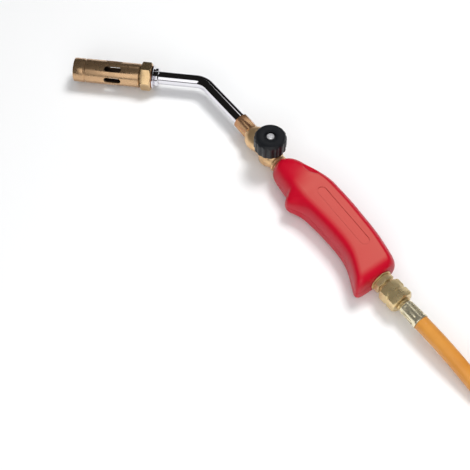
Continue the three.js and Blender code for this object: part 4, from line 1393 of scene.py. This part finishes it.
@dataclass
class Hose:
    """The gas hose: straight out of its ferrule, down to the bench and into a coil of three turns."""

    radius: float = 6.65
    fall: tuple[tuple[float, float], ...] = (
        (0, 15), (12, 15), (24, 14.7), (36, 13.6), (48, 11.8), (60, 9.8), (72, 8), (84, 7), (96, 6.9),
        (108, 7.4), (118, 7.85),
    )
    tie_thick: float = 0.9
    coil_radius: float = 73.0
    move_in: tuple[float, float] = (250.0, 360.0)
    climb: tuple[float, float] = (560.0, 640.0)
    lift: tuple[float, float] = (900.0, 1005.0)
    end_turn: float = 1066.0
    end_height: float = 42.3
    end_straight: float = 12.0
    turn_step: float = 12.0
    ties: tuple[float, float] = (60.0, -60.0)
    tie_width: float = 4.6

    @property
    def coil_floor(self) -> float:
        """Height of the coil's underside, on its ties."""
        return self.tie_thick + GAP

    @property
    def lower_axis(self) -> float:
        """Height of the lower turns' middle."""
        return self.coil_floor + self.radius

    def straight_point(self, distance: float, height: float) -> Vector:
        """A point of the straight stretch, in millimetres of the row's frame."""
        place = INLET @ Vector(((FERRULE_TO + GAP + distance) * MM, 0, 0)) / MM
        return Vector((place.x, place.y, height))

    def centre(self) -> Vector:
        """The coil's centre on the bench."""
        heading = math.radians(GRIP_ANGLE)
        side = Vector((-math.sin(heading), math.cos(heading), 0))
        return self.straight_point(self.fall[-1][0], 0) + side * (self.coil_radius + self.radius)

    @staticmethod
    def ease(turn: float, span: tuple[float, float]) -> float:
        """A smooth rise from 0 to 1 over a span of degrees."""
        return eased((turn - span[0]) / (span[1] - span[0]))

    def first_radius(self, turn: float) -> float:
        """Radius of the lower turns: the outer one, then the inner one."""
        return self.coil_radius + self.radius - 2 * self.radius * self.ease(turn, self.move_in)

    def coil_point(self, turn: float) -> Vector:
        """A point of the coil, after some degrees of turning, in millimetres."""
        radius = self.first_radius(turn) + self.radius * self.ease(turn, self.climb)
        height = self.lower_axis
        if turn > self.climb[0]:
            beside = min(abs(self.first_radius(turn - 360) - radius), 2 * self.radius)
            beside = min(beside, self.radius) if turn > self.climb[1] + 50 else beside
            height += math.sqrt(4 * self.radius ** 2 - beside ** 2)
        resting = self.coil_floor + 5 * self.radius + GAP
        height += (resting - height) * self.ease(turn, self.lift)
        height += (self.end_height - resting) * self.ease(turn, (self.lift[1], self.end_turn))
        angle = math.radians(GRIP_ANGLE - 90 + turn)
        return self.centre() + Vector((radius * math.cos(angle), radius * math.sin(angle), height))

    def route(self) -> list[Vector]:
        """The hose's whole route, in metres."""
        points = [self.straight_point(*place) for place in self.fall]
        count = round(self.end_turn / self.turn_step)
        points += [self.coil_point(self.end_turn * i / count) for i in range(1, count + 1)]
        heading = math.radians(GRIP_ANGLE + self.end_turn)
        along = Vector((math.cos(heading), math.sin(heading), 0))
        last = points[-1]
        points += [last + along * self.end_straight / 2, last + along * self.end_straight]
        return [point * MM for point in points]

    def build_hose(self) -> None:
        """Builds the hose as one curve along its route.
        """
        route = self.route()
        curve = bpy.data.curves.new("gas_hose", "CURVE")
        curve.dimensions = "3D"
        spline = curve.splines.new("NURBS")
        spline.points.add(len(route) - 1)
        for knot, place in zip(spline.points, route):
            knot.co = (*place, 1)
        spline.order_u = 4
        spline.use_endpoint_u = True
        spline.resolution_u = 4
        curve.bevel_depth = self.radius * MM
        curve.bevel_resolution = 10
        curve.use_fill_caps = True
        hose = bpy.data.objects.new("gas_hose", curve)
        bpy.context.collection.objects.link(hose)
        curve.materials.append(ORANGE_RUBBER.material())
        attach(hose, "torch")
        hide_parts("hose_run", "hose_coil", "hose_end")

    def tie(self, number: int, heading: float) -> Piece:
        """A cable tie drawn round the coil's turns, with its head outside.

        Args:
            number: the tie's number.
            heading: degrees round the coil.

        Returns:
            The tie.
        """
        half = self.tie_thick / 2
        clear = 2 * self.radius + GAP + half
        outer, inner = self.coil_radius + clear, self.coil_radius - clear
        shoulder = self.coil_floor + 1.6 * self.radius
        top = self.coil_floor + 2 * self.radius + clear
        narrow = self.radius + 2
        corners = [
            (inner, half), (outer, half), (outer, shoulder), (self.coil_radius + narrow, top),
            (self.coil_radius - narrow, top), (inner, shoulder),
        ]
        idle()
        bpy.ops.mesh.primitive_circle_add(vertices=len(corners), radius=MM)
        tie = named(f"cable_tie_{number}_fine")
        for corner, (x, z) in zip(tie.data.vertices, corners):
            corner.co = Vector((x, 0, z)) * MM
        with editing():
            bpy.ops.mesh.bevel(offset=3.0 * MM, segments=5, affect="VERTICES")
            bpy.ops.mesh.select_all(action="SELECT")
            bpy.ops.transform.translate(value=(0, -self.tie_width / 2 * MM, 0))
            draw_out((0, self.tie_width * MM, 0))
            face_out()
        thicken(tie, self.tie_thick, 0.0)
        head = block("head", (outer + half + 2, 0, self.coil_floor + 5), (4.4, 6.4, 6.6))
        carve(tie, head, Carve.JOIN)
        soften(tie, 0.25, 2)
        centre = self.centre()
        place = frame_at(centre.x, centre.y, 0, heading)
        return dress(settle(tie, place), TIE_PLASTIC, "torch", f"cable_tie_{number}")

    def build(self) -> None:
        """Builds the hose, its ties and its far fitting."""
        fitting = Supply().build()
        ties = [self.tie(number, heading) for number, heading in enumerate(self.ties, 1)]
        self.build_hose()


# ---- Inner pieces ----------------------------------------------------------------------------------

@dataclass
class Inside:
    """The pieces that stay as the CAD model has them, with their real finishes."""

    finishes: dict[str, Finish] = field(default_factory=lambda: {
        "gas_jet": BRIGHT_BRASS, "burner_seal": COPPER, "valve_spindle": STEEL,
        "spindle_seal": BLACK_RUBBER, "gland_packing": WHITE_SEAL, "grip_pipe": COPPER,
    })

    def build(self) -> None:
        """Dresses the CAD's own inner pieces."""
        for node, finish in self.finishes.items():
            piece = frame["nodes"][node]
            piece.data.materials.clear()
            piece.data.materials.append(finish.material())
            LOG.info("%s: %s", node, finish.name)


# ---- Studio ----------------------------------------------------------------------------------------

@dataclass
class Studio:
    """A pale floor, soft lights and the camera."""

    target: Point = (VALVE_PLACE[0] - 5.4, VALVE_PLACE[1] - 123.4, AXIS_HEIGHT)
    elevation: float = 57.0
    distance: float = 850.0
    lens: float = 77.745

    def camera(self) -> None:
        """The camera, above and in front of the torch."""
        data = bpy.data.cameras.new("camera")
        data.lens = self.lens
        data.sensor_width = 36.0
        data.clip_start = 0.01
        camera = bpy.data.objects.new("camera", data)
        bpy.context.collection.objects.link(camera)
        lean = math.radians(self.elevation)
        away = Vector((0, -math.cos(lean), math.sin(lean))) * self.distance
        camera.location = (Vector(self.target) + away) * MM
        camera.rotation_euler = (math.pi / 2 - lean, 0, 0)
        bpy.context.scene.camera = camera

    def floor(self) -> None:
        """The plain pale floor."""
        idle()
        bpy.ops.mesh.primitive_plane_add(size=4.0, location=(0, 0, -0.0004))
        floor = named("floor")
        freeze()
        material = bpy.data.materials.new("pale floor")
        material.use_nodes = True
        tree = material.node_tree
        feed(tree, tree.nodes["Principled BSDF"], {
            "Base Color": rgba((0.92, 0.925, 0.93)), "Roughness": 0.9, "Specular IOR Level": 0.1,
        })
        floor.data.materials.append(material)

    @staticmethod
    def softbox(name: str, size: tuple[float, float], place: Point, power: float,
                mirrored: bool = True) -> None:
        """A large soft light that faces the bench's middle.

        Args:
            name: the light's name.
            size: its width and height in metres.
            place: where it hangs, in metres.
            power: its power in watts.
            mirrored: whether glossy surfaces show it.
        """
        data = bpy.data.lights.new(name, "AREA")
        data.shape = "RECTANGLE"
        data.size, data.size_y = size
        data.energy = power
        light = bpy.data.objects.new(name, data)
        bpy.context.collection.objects.link(light)
        light.location = place
        light.rotation_euler = (-Vector(place)).to_track_quat("-Z", "Y").to_euler()
        light.visible_glossy = mirrored

    def lights(self) -> None:
        """A front softbox, a small far light, three lights that nothing mirrors, and a dark room."""
        self.softbox("front", (1.5, 1.25), (0.0, -1.0, 0.83), 7.4)
        self.softbox("far strip", (0.48, 0.34), (0.209, 0.941, 1.149), 0.62)
        self.softbox("front fill", (1.0, 0.6), (-0.35, -1.15, 0.7), 4.0, mirrored=False)
        self.softbox("key", (0.5, 0.5), (0.40, 0.44, 1.35), 13.0, mirrored=False)
        self.softbox("fill", (3.0, 3.0), (0.0, 0.0, 2.0), 19.0, mirrored=False)
        world = bpy.data.worlds.new("room")
        world.use_nodes = True
        tree = world.node_tree
        lit = feed(tree, tree.nodes["Background"], {
            "Color": rgba((1.0, 0.93, 0.88)), "Strength": 0.012,
        })
        shown = add_node(tree, "ShaderNodeBackground", {"Color": rgba((0.93, 0.935, 0.94))})
        blend = add_node(tree, "ShaderNodeMixShader", {
            "Fac": tree.nodes.new("ShaderNodeLightPath").outputs["Is Camera Ray"],
            1: lit.outputs["Background"], 2: shown.outputs["Background"],
        })
        feed(tree, tree.nodes["World Output"], {"Surface": blend.outputs["Shader"]})
        bpy.context.scene.world = world
        bpy.context.scene.view_settings.view_transform = "Standard"

    def build(self) -> None:
        """Sets up the floor and the lights."""
        self.floor()
        self.lights()


def main() -> None:
    """Builds the torch, from the camera and the hose to the last screw."""
    logging.basicConfig(level=logging.INFO, format="%(message)s")
    idle()
    studio = Studio()
    studio.camera()
    Hose().build()
    for assembly in (Burner(), Neck(), Valve(), Knob(), Grip(), Fittings(), Inside(), studio):
        assembly.build()
    idle()


if __name__ == "__main__":
    main()
